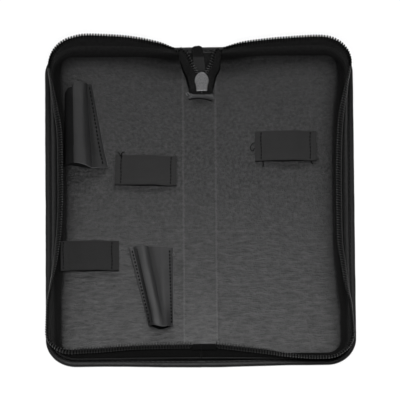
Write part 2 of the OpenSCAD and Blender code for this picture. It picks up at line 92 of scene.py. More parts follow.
def foot_line(s):
    """Points and inward normals of the wall's foot, on the +X side; past the end it runs on along the spine's end."""
    s = np.asarray(s, float)
    a1 = np.pi / 2 - (s - L1) / RF
    a2 = -(s - L1 - LA - L2) / RF
    k = [s < L1, s < L1 + LA, s < L1 + LA + L2, s < L1 + 2 * LA + L2]
    px = np.select(k, [XC + s, W - R + RF * np.cos(a1), np.full_like(s, W - FOOT), W - R + RF * np.cos(a2)],
                   W - R - (s - L1 - 2 * LA - L2))
    py = np.select(k, [np.full_like(s, YT - FOOT), YT - R + RF * np.sin(a1), YT - R - (s - L1 - LA),
                       YB + R + RF * np.sin(a2)], np.full_like(s, YB + FOOT))
    nx = np.select(k, [0 * s, -np.cos(a1), -1 + 0 * s, -np.cos(a2)], 0 * s)
    ny = np.select(k, [-1 + 0 * s, -np.sin(a1), 0 * s, -np.sin(a2)], 1 + 0 * s)
    return np.stack([px, py], -1), np.stack([nx, ny], -1)


def wall(side, s, t, o):
    """Point of the wall on the +X side: s along the foot, t from foot to free edge, o outwards from its middle."""
    s, t, o = np.broadcast_arrays(np.asarray(s, float), np.asarray(t, float), np.asarray(o, float))
    d = read(LEAN[side], s)
    f, n = foot_line(s)
    ti, tu = d * (0.3 + 1.4 * t), H * (1.15 - 0.3 * t)
    g = np.sqrt(ti * ti + tu * tu)
    q = d * (0.3 * t + 0.7 * t * t) - o * tu / g
    z = T + H * (1.15 * t - 0.15 * t * t) + o * ti / g
    return np.stack([f[..., 0] + n[..., 0] * q, f[..., 1] + n[..., 1] * q, z], -1)


def wave(x, y, seed, scale, octaves=3):
    """Smooth repeatable noise from a few sine waves, about -1 to 1."""
    r = random.Random(seed)
    total, norm = 0, 0
    for k in range(octaves):
        f = 2.1**k / scale
        for _ in range(3):
            a, p = r.uniform(0, math.pi), r.uniform(0, 6.3)
            total = total + np.sin((x * math.cos(a) + y * math.sin(a)) * f * 6.28 + p) / 1.7**k
            norm += 1 / 1.7**k
    return total / norm * 1.6


# ------------------------------------------------------------------ mesh helpers
def put(name, V, F, mat, slot, uv=None, flat=False, mirror=False, index=None):
    """A mesh object from points in millimetres. uv holds one (u, v) per face corner, in millimetres."""
    V = np.array(V, float)
    if mirror:
        V[:, 0] *= -1
    me = bpy.data.meshes.new(name)
    faces = [list(f)[::-1] for f in F] if mirror else [list(f) for f in F]
    me.from_pydata((V * 0.001).tolist(), [], faces)
    layer = me.uv_layers.new(name="mm")
    if uv is None:
        co = V[[i for f in faces for i in f]][:, :2]
        layer.data.foreach_set("uv", np.ascontiguousarray(co * 0.01).ravel())
    else:
        corner = [list(c)[::-1] for c in uv] if mirror else uv
        layer.data.foreach_set("uv", (np.array([p for c in corner for p in c], float) * 0.01).ravel())
    me.polygons.foreach_set("use_smooth", [not flat] * len(me.polygons))
    if index is not None:
        me.polygons.foreach_set("material_index", index)
    me.validate()
    me.update()
    o = bpy.data.objects.new(name, me)
    bpy.context.scene.collection.objects.link(o)
    for m in (mat if isinstance(mat, list) else [mat]):
        me.materials.append(m)
    return o


def grid(P, wrap=False, cap=False, flip=False, uvs=None, base=0, along=True):
    """Faces and corner uvs of a net of points P[m][n]. wrap closes it round n, cap closes its two ends."""
    P = np.asarray(P, float)
    m, n = P.shape[:2]
    if uvs is None:
        du = np.linalg.norm(np.diff(P, axis=0), axis=2).mean(1)
        u = np.r_[0, np.cumsum(du)]
        ring = np.concatenate([P, P[:, :1]], 1) if wrap else P
        dv = np.linalg.norm(np.diff(ring, axis=1), axis=2).mean(0)
        v = np.r_[0, np.cumsum(dv)]
        U, Vv = np.meshgrid(u, v, indexing="ij")
    else:
        U, Vv = uvs
    F, C = [], []
    for k in range(m - 1):
        for i in range(n if wrap else n - 1):
            j = (i + 1) % n
            f = [base + k * n + i, base + (k + 1) * n + i, base + (k + 1) * n + j, base + k * n + j]
            c = [(U[k, i], Vv[k, i]), (U[k + 1, i], Vv[k + 1, i]), (U[k + 1, i + 1], Vv[k + 1, i + 1]), (U[k, i + 1], Vv[k, i + 1])]
            F.append(f[::-1] if flip else f)
            C.append(c[::-1] if flip else c)
    if cap and wrap:
        for k, rev in ((0, False), (m - 1, True)):
            f = [base + k * n + i for i in range(n)]
            c = [(U[k, i], Vv[k, i]) for i in range(n)]
            if rev != flip:
                f, c = f[::-1], c[::-1]
            F.append(f)
            C.append(c)
    return P.reshape(-1, 3), F, C


class Bag:
    """Collects several nets into one mesh."""

    def __init__(self):
        self.V, self.F, self.C, self.I, self.n = [], [], [], [], 0

    def net(self, P, m=0, **k):
        v, f, c = grid(P, base=self.n, **k)
        self.I += [m] * len(f) if isinstance(m, int) else [m(np.mean([v[i - self.n] for i in q], axis=0)) for q in f]
        self.V.append(v)
        self.F += f
        self.C += c
        self.n += len(v)
        return self

    def raw(self, V, F, C=None, m=0):
        V = np.asarray(V, float)
        self.I += [m] * len(F)
        self.V.append(V)
        self.F += [[self.n + i for i in f] for f in F]
        self.C += C if C is not None else [[(V[i][0], V[i][1]) for i in f] for f in F]
        self.n += len(V)
        return self

    def out(self, name, mat, slot, **k):
        return put(name, np.concatenate(self.V), self.F, mat, slot, uv=self.C, index=self.I, **k)


def tube(path, side, up, ra, rb, n=6, cap=True):
    """Net of a tube along a path: side and up are unit vectors, ra and rb the half widths along them (each may be a list)."""
    path, side, up = np.asarray(path, float), np.asarray(side, float), np.asarray(up, float)
    m = len(path)
    ra, rb = np.broadcast_to(ra, (m,)), np.broadcast_to(rb, (m,))
    a = np.arange(n) / n * 2 * np.pi
    return path[:, None] + side[:, None] * (np.cos(a)[None, :, None] * ra[:, None, None]) + up[:, None] * (np.sin(a)[None, :, None] * rb[:, None, None])


def frames(path, hint):
    path = np.asarray(path, float)
    t = unit(np.gradient(path, axis=0))
    hint = np.broadcast_to(np.asarray(hint, float), path.shape)
    side = unit(np.cross(hint, t))
    return t, side, np.cross(t, side)


def capsules(bag, pts, dirs, ups, length, r, squashed=0.7):
    """Short sewn stitches: rounded bars whose ends dive into the cloth."""
    for p, d, u in zip(np.asarray(pts, float), np.asarray(dirs, float), np.asarray(ups, float)):
        d, u = unit(d), unit(u)
        s = unit(np.cross(u, d))
        x = np.array([-0.5, -0.42, -0.25, 0, 0.25, 0.42, 0.5]) * length
        lift = np.array([-0.9, -0.15, 0.25, 0.4, 0.25, -0.15, -0.9]) * r
        w = np.array([0.35, 0.8, 1, 1, 1, 0.8, 0.35]) * r
        path = p + x[:, None] * d + lift[:, None] * u
        bag.net(tube(path, np.tile(s, (7, 1)), np.tile(u, (7, 1)), w, w * squashed, n=6), wrap=True, cap=True)


def spline(pts, m):
    """Catmull-Rom through rows of points, at parameter values m."""
    P = np.asarray(pts, float)
    P = np.concatenate([2 * P[:1] - P[1:2], P, 2 * P[-1:] - P[-2:-1]])
    m = np.asarray(m, float)
    i = np.clip(m.astype(int), 0, len(P) - 4)
    t = (m - i).reshape((-1,) + (1,) * (P.ndim - 1))
    a, b, c, d = P[i], P[i + 1], P[i + 2], P[i + 3]
    return 0.5 * (2 * b + (c - a) * t + (2 * a - 5 * b + 4 * c - d) * t * t + (3 * b - a - 3 * c + d) * t**3)


# ------------------------------------------------------------------ materials
class Mat:
    def __init__(self, name, base, rough, spec=0.5, metal=0.0):
        self.m = bpy.data.materials.new(name)
        self.m.use_nodes = True
        self.t = self.m.node_tree
        self.b = self.t.nodes["Principled BSDF"]
        self.set("Base Color", (*base, 1))
        self.set("Roughness", rough)
        self.set("Specular IOR Level", spec if metal or name == "grained_lining" else spec * 0.72)
        self.set("Metallic", metal)
        self.height = None

    def set(self, name, value):
        self.b.inputs[name].default_value = value

    def node(self, kind, **inputs):
        n = self.t.nodes.new("ShaderNode" + kind)
        for k, v in inputs.items():
            if k in ("operation", "blend_type", "data_type", "feature", "noise_dimensions", "wave_type", "bands_direction", "wave_profile", "uv_map", "interpolation_type", "distance", "invert"):
                setattr(n, k, v)
        for k, v in inputs.items():
            if hasattr(n, k) and k not in ("inputs",) and not k[0].isupper() and not k.startswith("i"):
                continue
            key = int(k[1:]) if k[0] == "i" and k[1:].isdigit() else k
            self.feed(n.inputs[key], v)
        return n

    def feed(self, socket, v):
        if isinstance(v, bpy.types.NodeSocket):
            self.t.links.new(v, socket)
        elif isinstance(v, bpy.types.Node):
            self.t.links.new(v.outputs[0], socket)
        else:
            socket.default_value = v

    def cloth(self, scale=(1, 1, 1), rot=0.0, shift=(0, 0, 0)):
        """Millimetres along the cloth, times scale."""
        uv = self.node("UVMap", uv_map="mm")
        mp = self.t.nodes.new("ShaderNodeMapping")
        mp.vector_type = "POINT"
        self.t.links.new(uv.outputs[0], mp.inputs[0])
        mp.inputs["Scale"].default_value = [100 * s for s in scale]
        mp.inputs["Rotation"].default_value = (0, 0, rot)
        mp.inputs["Location"].default_value = shift
        return mp.outputs[0]

    def place(self, scale=1.0):
        """Millimetres in the row frame, for rigid pieces."""
        tc = self.t.nodes.new("ShaderNodeTexCoord")
        mp = self.t.nodes.new("ShaderNodeMapping")
        self.t.links.new(tc.outputs["Object"], mp.inputs[0])
        s = scale if isinstance(scale, (tuple, list)) else (scale,) * 3
        mp.inputs["Scale"].default_value = [1000 * v for v in s]
        return mp.outputs[0]

    def noise(self, vec, scale=1.0, detail=3.0, rough=0.55, out=0):
        n = self.t.nodes.new("ShaderNodeTexNoise")
        self.t.links.new(vec, n.inputs["Vector"])
        n.inputs["Scale"].default_value = scale
        n.inputs["Detail"].default_value = detail
        n.inputs["Roughness"].default_value = rough
        return n.outputs[out]

    def voronoi(self, vec, scale=1.0, feature="F1", rand=1.0, out=0):
        n = self.t.nodes.new("ShaderNodeTexVoronoi")
        n.feature = feature
        self.t.links.new(vec, n.inputs["Vector"])
        n.inputs["Scale"].default_value = scale
        n.inputs["Randomness"].default_value = rand
        return n.outputs[out]

    def waves(self, vec, scale, direction="X", profile="SIN", distort=0.0, dscale=1.0):
        n = self.t.nodes.new("ShaderNodeTexWave")
        n.bands_direction = direction
        n.wave_profile = profile
        self.t.links.new(vec, n.inputs["Vector"])
        n.inputs["Scale"].default_value = scale
        n.inputs["Distortion"].default_value = distort
        n.inputs["Detail"].default_value = 1.0
        n.inputs["Detail Scale"].default_value = dscale
        return n.outputs["Fac"]

    def math(self, op, a, b=None, c=None, clamp=False):
        n = self.t.nodes.new("ShaderNodeMath")
        n.operation = op
        n.use_clamp = clamp
        self.feed(n.inputs[0], a)
        if b is not None:
            self.feed(n.inputs[1], b)
        if c is not None:
            self.feed(n.inputs[2], c)
        return n.outputs[0]

    def remap(self, v, a, b, c, d):
        n = self.t.nodes.new("ShaderNodeMapRange")
        n.clamp = True
        self.t.links.new(v, n.inputs["Value"])
        for k, x in zip(("From Min", "From Max", "To Min", "To Max"), (a, b, c, d)):
            n.inputs[k].default_value = x
        return n.outputs["Result"]

    def mix(self, f, a, b, mode="MIX"):
        n = self.t.nodes.new("ShaderNodeMix")
        n.data_type = "RGBA"
        n.blend_type = mode
        self.feed(n.inputs[0], f)
        for k, v in ((6, a), (7, b)):
            self.feed(n.inputs[k], (*v, 1) if isinstance(v, (tuple, list)) and len(v) == 3 else v)
        return n.outputs[2]

    def color(self, out):
        self.t.links.new(out, self.b.inputs["Base Color"])

    def rough(self, out):
        self.t.links.new(out, self.b.inputs["Roughness"])

    def bump(self, height, mm, strength=1.0):
        """height runs 0 to 1 over mm millimetres; calls stack."""
        n = self.t.nodes.new("ShaderNodeBump")
        n.inputs["Distance"].default_value = mm * 0.001
        n.inputs["Strength"].default_value = strength
        self.t.links.new(height, n.inputs["Height"])
        if self.height is not None:
            self.t.links.new(self.height, n.inputs["Normal"])
        self.height = n.outputs[0]
        self.t.links.new(self.height, self.b.inputs["Normal"])


def grey(v, tint=0.0):
    v *= 0.72
    return (v, v, v * (1 + tint))


def make_vinyl(name, base, rough, spec, grain=0.5, relief=0.05, crease=0.0, toned=False, low=None):
    a = Mat(name, grey(base, 0.03), rough, spec)
    uv = a.cloth()
    cells = a.voronoi(uv, 1 / grain, "SMOOTH_F1")
    fine = a.noise(uv, 4 / grain, 2)
    big = a.noise(uv, 0.06, 3)
    col = a.mix(a.remap(big, 0.3, 0.7, 0, 1), grey(base * 0.85, 0.03), grey(base * 1.18, 0.03))
    streak = a.noise(a.cloth((0.06, 1.1, 1)), 1.0, 3)
    col = a.mix(1.0, col, a.remap(streak, 0.3, 0.7, 0.84, 1.16), "MULTIPLY")
    # painted light and shade: the tone attribute scales colour and gloss
    if toned:
        att = a.t.nodes.new("ShaderNodeAttribute")
        att.attribute_name = "tone"
        col = a.mix(1.0, col, att.outputs["Color"], "MULTIPLY")
        a.feed(a.b.inputs["Specular IOR Level"], a.math("MULTIPLY", att.outputs["Fac"], spec * 0.72))
    # painted shade: low darkens colour and gloss alike towards the case's lower end
    if low:
        sep = a.t.nodes.new("ShaderNodeSeparateXYZ")
        a.t.links.new(a.place(), sep.inputs[0])
        k = a.remap(sep.outputs[1], -106, -98, low, 1.0)
        col = a.mix(1.0, col, k, "MULTIPLY")
        a.feed(a.b.inputs["Specular IOR Level"], a.math("MULTIPLY", k, spec * 0.72))
    a.color(col)
    a.rough(a.remap(a.noise(uv, 0.35, 3), 0.3, 0.7, rough - 0.06, rough + 0.07))
    a.bump(cells, relief)
    a.bump(fine, relief * 0.5)
    if crease:
        a.bump(a.noise(a.cloth((0.5, 0.12, 1)), 1.0, 4), crease)
    return a.m


def make_lining():
    a = Mat("grained_lining", grey(LINING, 0.02), 0.5, 0.25)
    uv = a.cloth()
    pos = a.t.nodes.new("ShaderNodeSeparateXYZ")
    a.t.links.new(uv, pos.inputs[0])
    # pebbled near the slider's end, turning into wrinkles that run across the case near the other end
    low = a.remap(pos.outputs[1], 35, -45, 0, 1)
    pebble = a.voronoi(uv, 1.05, "SMOOTH_F1")
    speck = a.noise(uv, 0.5, 4, 0.68)
    long = a.noise(a.cloth((0.13, 0.5, 1), 0.06), 1.0, 4, 0.6)
    long2 = a.noise(a.cloth((0.4, 1.5, 1), -0.1), 1.0, 3, 0.6)
    grain = a.math("ADD", a.math("MULTIPLY", speck, a.math("SUBTRACT", 1.0, low)),
                   a.math("MULTIPLY", a.math("MULTIPLY_ADD", long, 0.65, a.math("MULTIPLY", long2, 0.35)), low))
    calm = a.remap(pos.outputs[1], 20, 75, 1.0, 0.45)
    grain = a.math("MULTIPLY_ADD", a.math("SUBTRACT", grain, 0.5), calm, 0.5)
    blotch = a.noise(uv, 0.05, 3)
    mid = a.noise(uv, 0.21, 3, 0.6)
    # the lining is worn paler along the two fold lines
    fold = a.math("ABSOLUTE", a.math("SUBTRACT", a.math("ABSOLUTE", pos.outputs[0]), XC))
    line = a.remap(fold, 0.35, 1.0, 1, 0)
    tone = a.math("ADD", a.remap(grain, 0.36, 0.64, 0.5, 1.5), a.remap(blotch, 0.3, 0.7, -0.07, 0.07))
    tone = a.math("ADD", tone, a.remap(mid, 0.3, 0.7, -0.13, 0.13))
    tone = a.math("MULTIPLY_ADD", line, 0.55, tone)
    # painted shade: a soft dark border where the lining runs into the walls, darkening colour and gloss through the
    # tone attribute
    att = a.t.nodes.new("ShaderNodeAttribute")
    att.attribute_name = "tone"
    tone = a.math("MULTIPLY", tone, att.outputs["Fac"])
    col = a.t.nodes.new("ShaderNodeCombineColor")
    for k, f in ((0, 1.0), (1, 1.0), (2, 1.02)):
        a.feed(col.inputs[k], a.math("MULTIPLY", tone, LINING * f))
    a.color(col.outputs[0])
    # painted sheen: the gloss rises towards the case's lower end
    gloss = a.math("MULTIPLY", a.remap(grain, 0.36, 0.64, 0.19, 0.31), a.remap(pos.outputs[1], -45, -95, 1.0, 1.16))
    gloss = a.math("MULTIPLY", gloss, a.remap(mid, 0.3, 0.7, 0.9, 1.1))
    a.feed(a.b.inputs["Specular IOR Level"], a.math("MULTIPLY", gloss, a.math("MULTIPLY_ADD", line, 0.2, att.outputs["Fac"])))
    a.rough(a.remap(grain, 0.3, 0.7, 0.46, 0.56))
    a.bump(grain, 1.25)
    a.bump(mid, 0.5)
    a.bump(pebble, 0.08)
    return a.m


def make_tape(base=0.005, rise=None):
    a = Mat("woven_tape", grey(base), 0.85, 0.05)
    twill = a.waves(a.cloth((1, 1, 1), 0.8), 1.1, "X", "SIN", 0.4, 2)
    rib = a.waves(a.cloth(), 0.75, "X")
    col = a.mix(a.remap(a.noise(a.cloth(), 0.5, 4), 0.3, 0.7, 0, 1), grey(base * 0.72), grey(base * 1.3))
    sep = a.t.nodes.new("ShaderNodeSeparateXYZ")
    a.t.links.new(a.place(), sep.inputs[0])
    # painted shade: with rise the colour darkens towards the wall's foot and pales higher up
    if rise:
        col = a.mix(1.0, col, a.remap(sep.outputs[2], 3.0, 10.0, *rise), "MULTIPLY")
    # painted shade darkens the cloth towards the case's lower end; painted light brightens it near the upper end
    y_ramp = a.math("MULTIPLY", a.remap(sep.outputs[1], -96, -86, 0.42, 1.0), a.remap(sep.outputs[1], 92, 101, 1.0, 1.7))
    col = a.mix(1.0, col, y_ramp, "MULTIPLY")
    a.color(col)
    a.bump(twill, 0.08)
    a.bump(rib, 0.04)
    a.set("Sheen Weight", 0.02)
    a.set("Sheen Roughness", 0.5)
    return a.m


def make_elastic(name="ribbed_elastic", k=1.0):
    a = Mat(name, grey(0.018 * k), 0.75, 0.14 * k)
    uv = a.cloth()
    cords = a.waves(uv, 0.42, "Y")
    picks = a.waves(uv, 0.8, "X", "SIN", 0.3, 3)
    weave = a.math("MULTIPLY", cords, a.math("MULTIPLY_ADD", picks, 0.35, 0.65))
    a.color(a.mix(weave, grey(0.0125 * k), grey(0.0215 * k)))
    a.bump(weave, 0.12)
    a.bump(a.noise(uv, 3.0, 2), 0.04)
    a.set("Sheen Weight", 0.03)
    a.set("Sheen Roughness", 0.45)
    return a.m


def make_thread(name, base):
    a = Mat(name, grey(base), 0.8, 0.05)
    a.bump(a.waves(a.cloth((1, 1, 1), 0.7), 1.6, "X"), 0.05)
    a.color(a.mix(a.waves(a.cloth((1, 1, 1), 0.7), 1.6, "X"), grey(base * 0.7), grey(base * 1.2)))
    return a.m


def make_nylon(name="coil_nylon", base=0.005, spec=0.35):
    a = Mat(name, grey(base), 0.4, spec)
    a.color(a.mix(a.noise(a.cloth(), 0.8, 2), grey(base * 0.7), grey(base * 1.3)))
    a.rough(a.remap(a.noise(a.cloth(), 1.5, 2), 0.3, 0.7, 0.3, 0.46))
    return a.m


def make_metal():
    a = Mat("slider_zinc", (0.17, 0.17, 0.173), 0.5, 0.5, 1.0)
    p = a.place()
    a.color(a.mix(a.remap(a.noise(p, 0.9, 4), 0.35, 0.65, 0, 1), (0.13, 0.13, 0.133), (0.2, 0.2, 0.203)))
    a.rough(a.remap(a.noise(p, 2.2, 4), 0.3, 0.7, 0.36, 0.5))
    a.bump(a.noise(a.place((3, 0.5, 1)), 2.0, 3), 0.02)
    return a.m


def make_enamel():
    a = Mat("tab_enamel", (0.005, 0.005, 0.005), 0.5, 0.1)
    p = a.place()
    # the tip is black, the rest of the plate paler
    sep = a.t.nodes.new("ShaderNodeSeparateXYZ")
    a.t.links.new(p, sep.inputs[0])
    y_ramp = a.remap(sep.outputs[1], 101.2, 102.2, 1, 0)
    paint = a.mix(a.remap(a.noise(p, 0.8, 4), 0.35, 0.7, 0, 1), (0.0012, 0.0012, 0.0012), (0.003, 0.003, 0.003))
    a.color(a.mix(y_ramp, paint, (0.0115, 0.0115, 0.0116)))
    a.rough(a.remap(a.noise(p, 1.5, 3), 0.3, 0.7, 0.45, 0.6))
    a.bump(a.noise(p, 0.7, 2), 0.03)
    return a.m


def make_board():
    a = Mat("greyboard", (0.3, 0.27, 0.22), 0.9, 0.2)
    a.color(a.mix(a.noise(a.place(), 1.5, 4), (0.24, 0.22, 0.18), (0.36, 0.33, 0.28)))
    a.bump(a.noise(a.place(), 3, 3), 0.05)
    return a.m


def make_foam():
    a = Mat("foam_sheet", (0.04, 0.04, 0.042), 0.9, 0.2)
    a.color(a.mix(a.voronoi(a.place(), 1.6), (0.03, 0.03, 0.03), (0.055, 0.055, 0.057)))
    a.bump(a.voronoi(a.place(), 1.6), 0.08)
    return a.m


LINING = 0.0118
M = {
    # the outer vinyl carries painted shade along the case's lower end
    "outer": make_vinyl("outer_vinyl", 0.0076, 0.5, 0.24, 0.55, 0.05, low=0.8),
    "gusset": make_vinyl("gusset_vinyl", 0.0069, 0.54, 0.18, 0.5, 0.05, 0.12),
    "lining": make_lining(),
    "facing": make_tape(0.0066, (0.34, 1.4)),
    "tape": make_tape(0.005),
    # a paler copy of the tape for the loose ends: painted light
    "loose_tape": make_tape(0.0068),
    "elastic": make_elastic(),
    # a darker copy of the elastic for the lower loop: painted shade
    "painted_shade_elastic": make_elastic("darker_elastic", 0.74),
    # the sheaths carry painted light and shade through their tone attribute
    "sheath": make_vinyl("sheath_vinyl", 0.0148, 0.5, 0.3, 0.6, 0.04, 0.1, toned=True),
    # painted shade: a dark cloth laid where the sheaths and loops are in shade
    "shade": make_vinyl("sheath_back_cloth", 0.0058, 0.8, 0.1, 0.6, 0.04),
    # a paler copy of the lining's vinyl for the slit's lip: painted highlight
    "lip": make_vinyl("lip_painted_highlight", 0.04, 0.5, 0.3, 0.6, 0.04, 0.08),
    "thread": make_thread("black_thread", 0.003),
    "wall_thread": make_thread("dark_grey_thread", 0.0125),
    # painted highlight along the sheaths' cut edges and hems
    "edge": make_vinyl("cut_edge_painted_highlight", 0.06, 0.6, 0.3, 0.6, 0.03),
    "pale_thread": make_thread("worn_thread", 0.09),
    "fray": make_vinyl("frayed_backing", 0.11, 0.7, 0.3, 0.6, 0.03),
    "coil": make_nylon(),
    # a brighter, glossier copy of the coil nylon for the loose ends: painted light
    "loose_coil": make_nylon("painted_light_loose_coil_nylon", 0.011, 0.5),
    # a dark matt copy of the coil nylon: painted shade
    "coil_shade": make_nylon("painted_shade_coil_nylon", 0.0035, 0.03),
    "metal": make_metal(),
    "enamel": make_enamel(),
    "board": make_board(),
    "foam": make_foam(),
}
M["facing"].name = "facing_cloth"

# the hidden layers keep their CAD shapes
for side in ("left", "right", "spine"):
    for part, m in (("board", "board"), ("pad", "foam")):
        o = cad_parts[f"{side}_{part}"]
        o.data.materials.clear()
        o.data.materials.append(M[m])

COVER = {-1: "left_cover", 1: "right_cover"}
NAME = {-1: "left", 1: "right"}

# ------------------------------------------------------------------ outer vinyl with its bound edge, one piece from the middle of the spine outwards
def bow(x, y):
    """The spine's ends stand a little lower than the covers' in the photograph: the edges bow by about a millimetre."""
    return np.where(np.asarray(y) > 0, 0.85 - 0.15 * smooth(np.abs(x), 20, 60), 0.9 * smooth(np.abs(x), 8, 60) - 0.65)


def outline():
    """Stations round the edge of one half, from the spine's upper end to its lower end: edge point and inward normal."""
    xs = np.r_[np.linspace(0, 8, 5), np.linspace(8.4, 12, 13), np.linspace(14, W - R, 22)]
    top = [(x, YT, 0, -1) for x in xs]
    ang = np.linspace(np.pi / 2, 0, 19)[1:]
    c1 = [(W - R + R * math.cos(a), YT - R + R * math.sin(a), -math.cos(a), -math.sin(a)) for a in ang]
    mid = [(W, y, -1, 0) for y in np.linspace(YT - R, YB + R, 60)[1:-1]]
    c2 = [(x, -y, nx, -ny) for x, y, nx, ny in c1[::-1]]
    bot = [(x, YB, 0, 1) for x in xs[::-1]]
    a = np.array(top + c1 + mid + c2 + bot)
    return a, len(top) + len(c1)


def make_skin(sd):
    st, half = outline()
    n = len(st)
    dist = np.r_[0, np.cumsum(np.linalg.norm(np.diff(st[:, :2], axis=0), axis=1))]
    prof = [(16, 0.0), (6, 0.0), (2.2, 0.0), (0.9, 0.12), (0.25, 0.5), (0.0, 1.1), (0.0, 1.9), (0.2, 2.5), (0.65, 2.9), (1.4, 3.06),
            (2.2, 3.06), (2.65, 2.98), (2.85, 2.86), (3.05, 2.97), (3.35, 2.95), (3.65, 2.86), (3.85, 2.72), (4.1, 2.6), (6.5, 2.5), (10.5, 2.46)]
    P = np.zeros((n, len(prof), 3))
    for j, (ins, z) in enumerate(prof):
        e = np.zeros(n)
        if 0.2 < z or ins < 2:
            e = wave(dist, 0 * dist + j * 0.6, 5 + sd, 26, 3) * (0.10 if z > 0.3 else 0.03)
        ins_j = np.full(n, min(ins, 16.0)) - (e if ins < 2 else 0)
        P[:, j, 0] = st[:, 0] + st[:, 2] * ins_j
        P[:, j, 1] = st[:, 1] + st[:, 3] * ins_j
        P[:, j, 2] = z + (e * 0.8 if z > 2.5 and ins < 3.5 else 0)
    b = bow(P[..., 0], P[..., 1])
    k = smooth(np.abs(P[..., 1]), 60, 100)
    P[..., 1] += b * k
    v = np.r_[0, np.cumsum([math.dist(prof[j], prof[j + 1]) for j in range(len(prof) - 1)])]
    U, Vv = np.meshgrid(dist, v, indexing="ij")
    # painted shade: near the spine's upper end the bound edge's inner flange takes the dark tape cloth
    bag = Bag().net(P, uvs=(U, Vv), m=lambda c: 1 if c[2] > 1.5 and c[1] > 90 and c[1] < YT - 3.7 and c[0] < 27 else 0)
    # the outer face between the upper and the lower edge
    V, F, C = [], [], []
    rows = 12
    for k in range(half):
        a, c = P[k, 0], P[n - 1 - k, 0]
        for r in range(rows + 1):
            V.append(a + (c - a) * r / rows)
    for k in range(half - 1):
        for r in range(rows):
            i = k * (rows + 1) + r
            F.append([i, i + 1, i + rows + 2, i + rows + 1])
    V = np.array(V)
    bag.raw(V, F)
    o = bag.out(f"{NAME[sd]}_outer_vinyl", [M["outer"], M["tape"]], "outer_vinyl", mirror=sd < 0)
    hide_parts(f"{NAME[sd]}_cover_skin", f"{NAME[sd]}_edge_binding", *(["spine_skin", "spine_edge_bindings"] if sd > 0 else []))
    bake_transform(o)
    # stitches of the bound edge
    bag = Bag()
    pitch = 3.1
    s = np.arange(1.2, dist[-1] - 1, pitch)
    x, y = np.interp(s, dist, st[:, 0]), np.interp(s, dist, st[:, 1])
    nx, ny = np.interp(s, dist, st[:, 2]), np.interp(s, dist, st[:, 3])
    p = np.stack([x + nx * 2.85, y + ny * 2.85, np.full_like(x, 2.96)], -1)
    p[:, 1] += bow(p[:, 0], p[:, 1]) * smooth(np.abs(p[:, 1]), 60, 100)
    capsules(bag, p, np.stack([-ny, nx, 0 * nx], -1), np.tile([0, 0, 1.0], (len(p), 1)), 2.3, 0.2)
    o = bag.out(f"{NAME[sd]}_edge_stitches", M["thread"], "thread", mirror=sd < 0)
    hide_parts(f"{NAME[sd]}_rim_thread")
    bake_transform(o)


# ------------------------------------------------------------------ lining of one half
def lining_edge(i=0.0):
    """Outline of the lining from the spine's upper end to its lower end."""
    x1, y1, y0, r = W - 9.3 - i, YT - 6.6 - i, YB + 7.6 + i, 9.0
    return x1, y1, y0, r


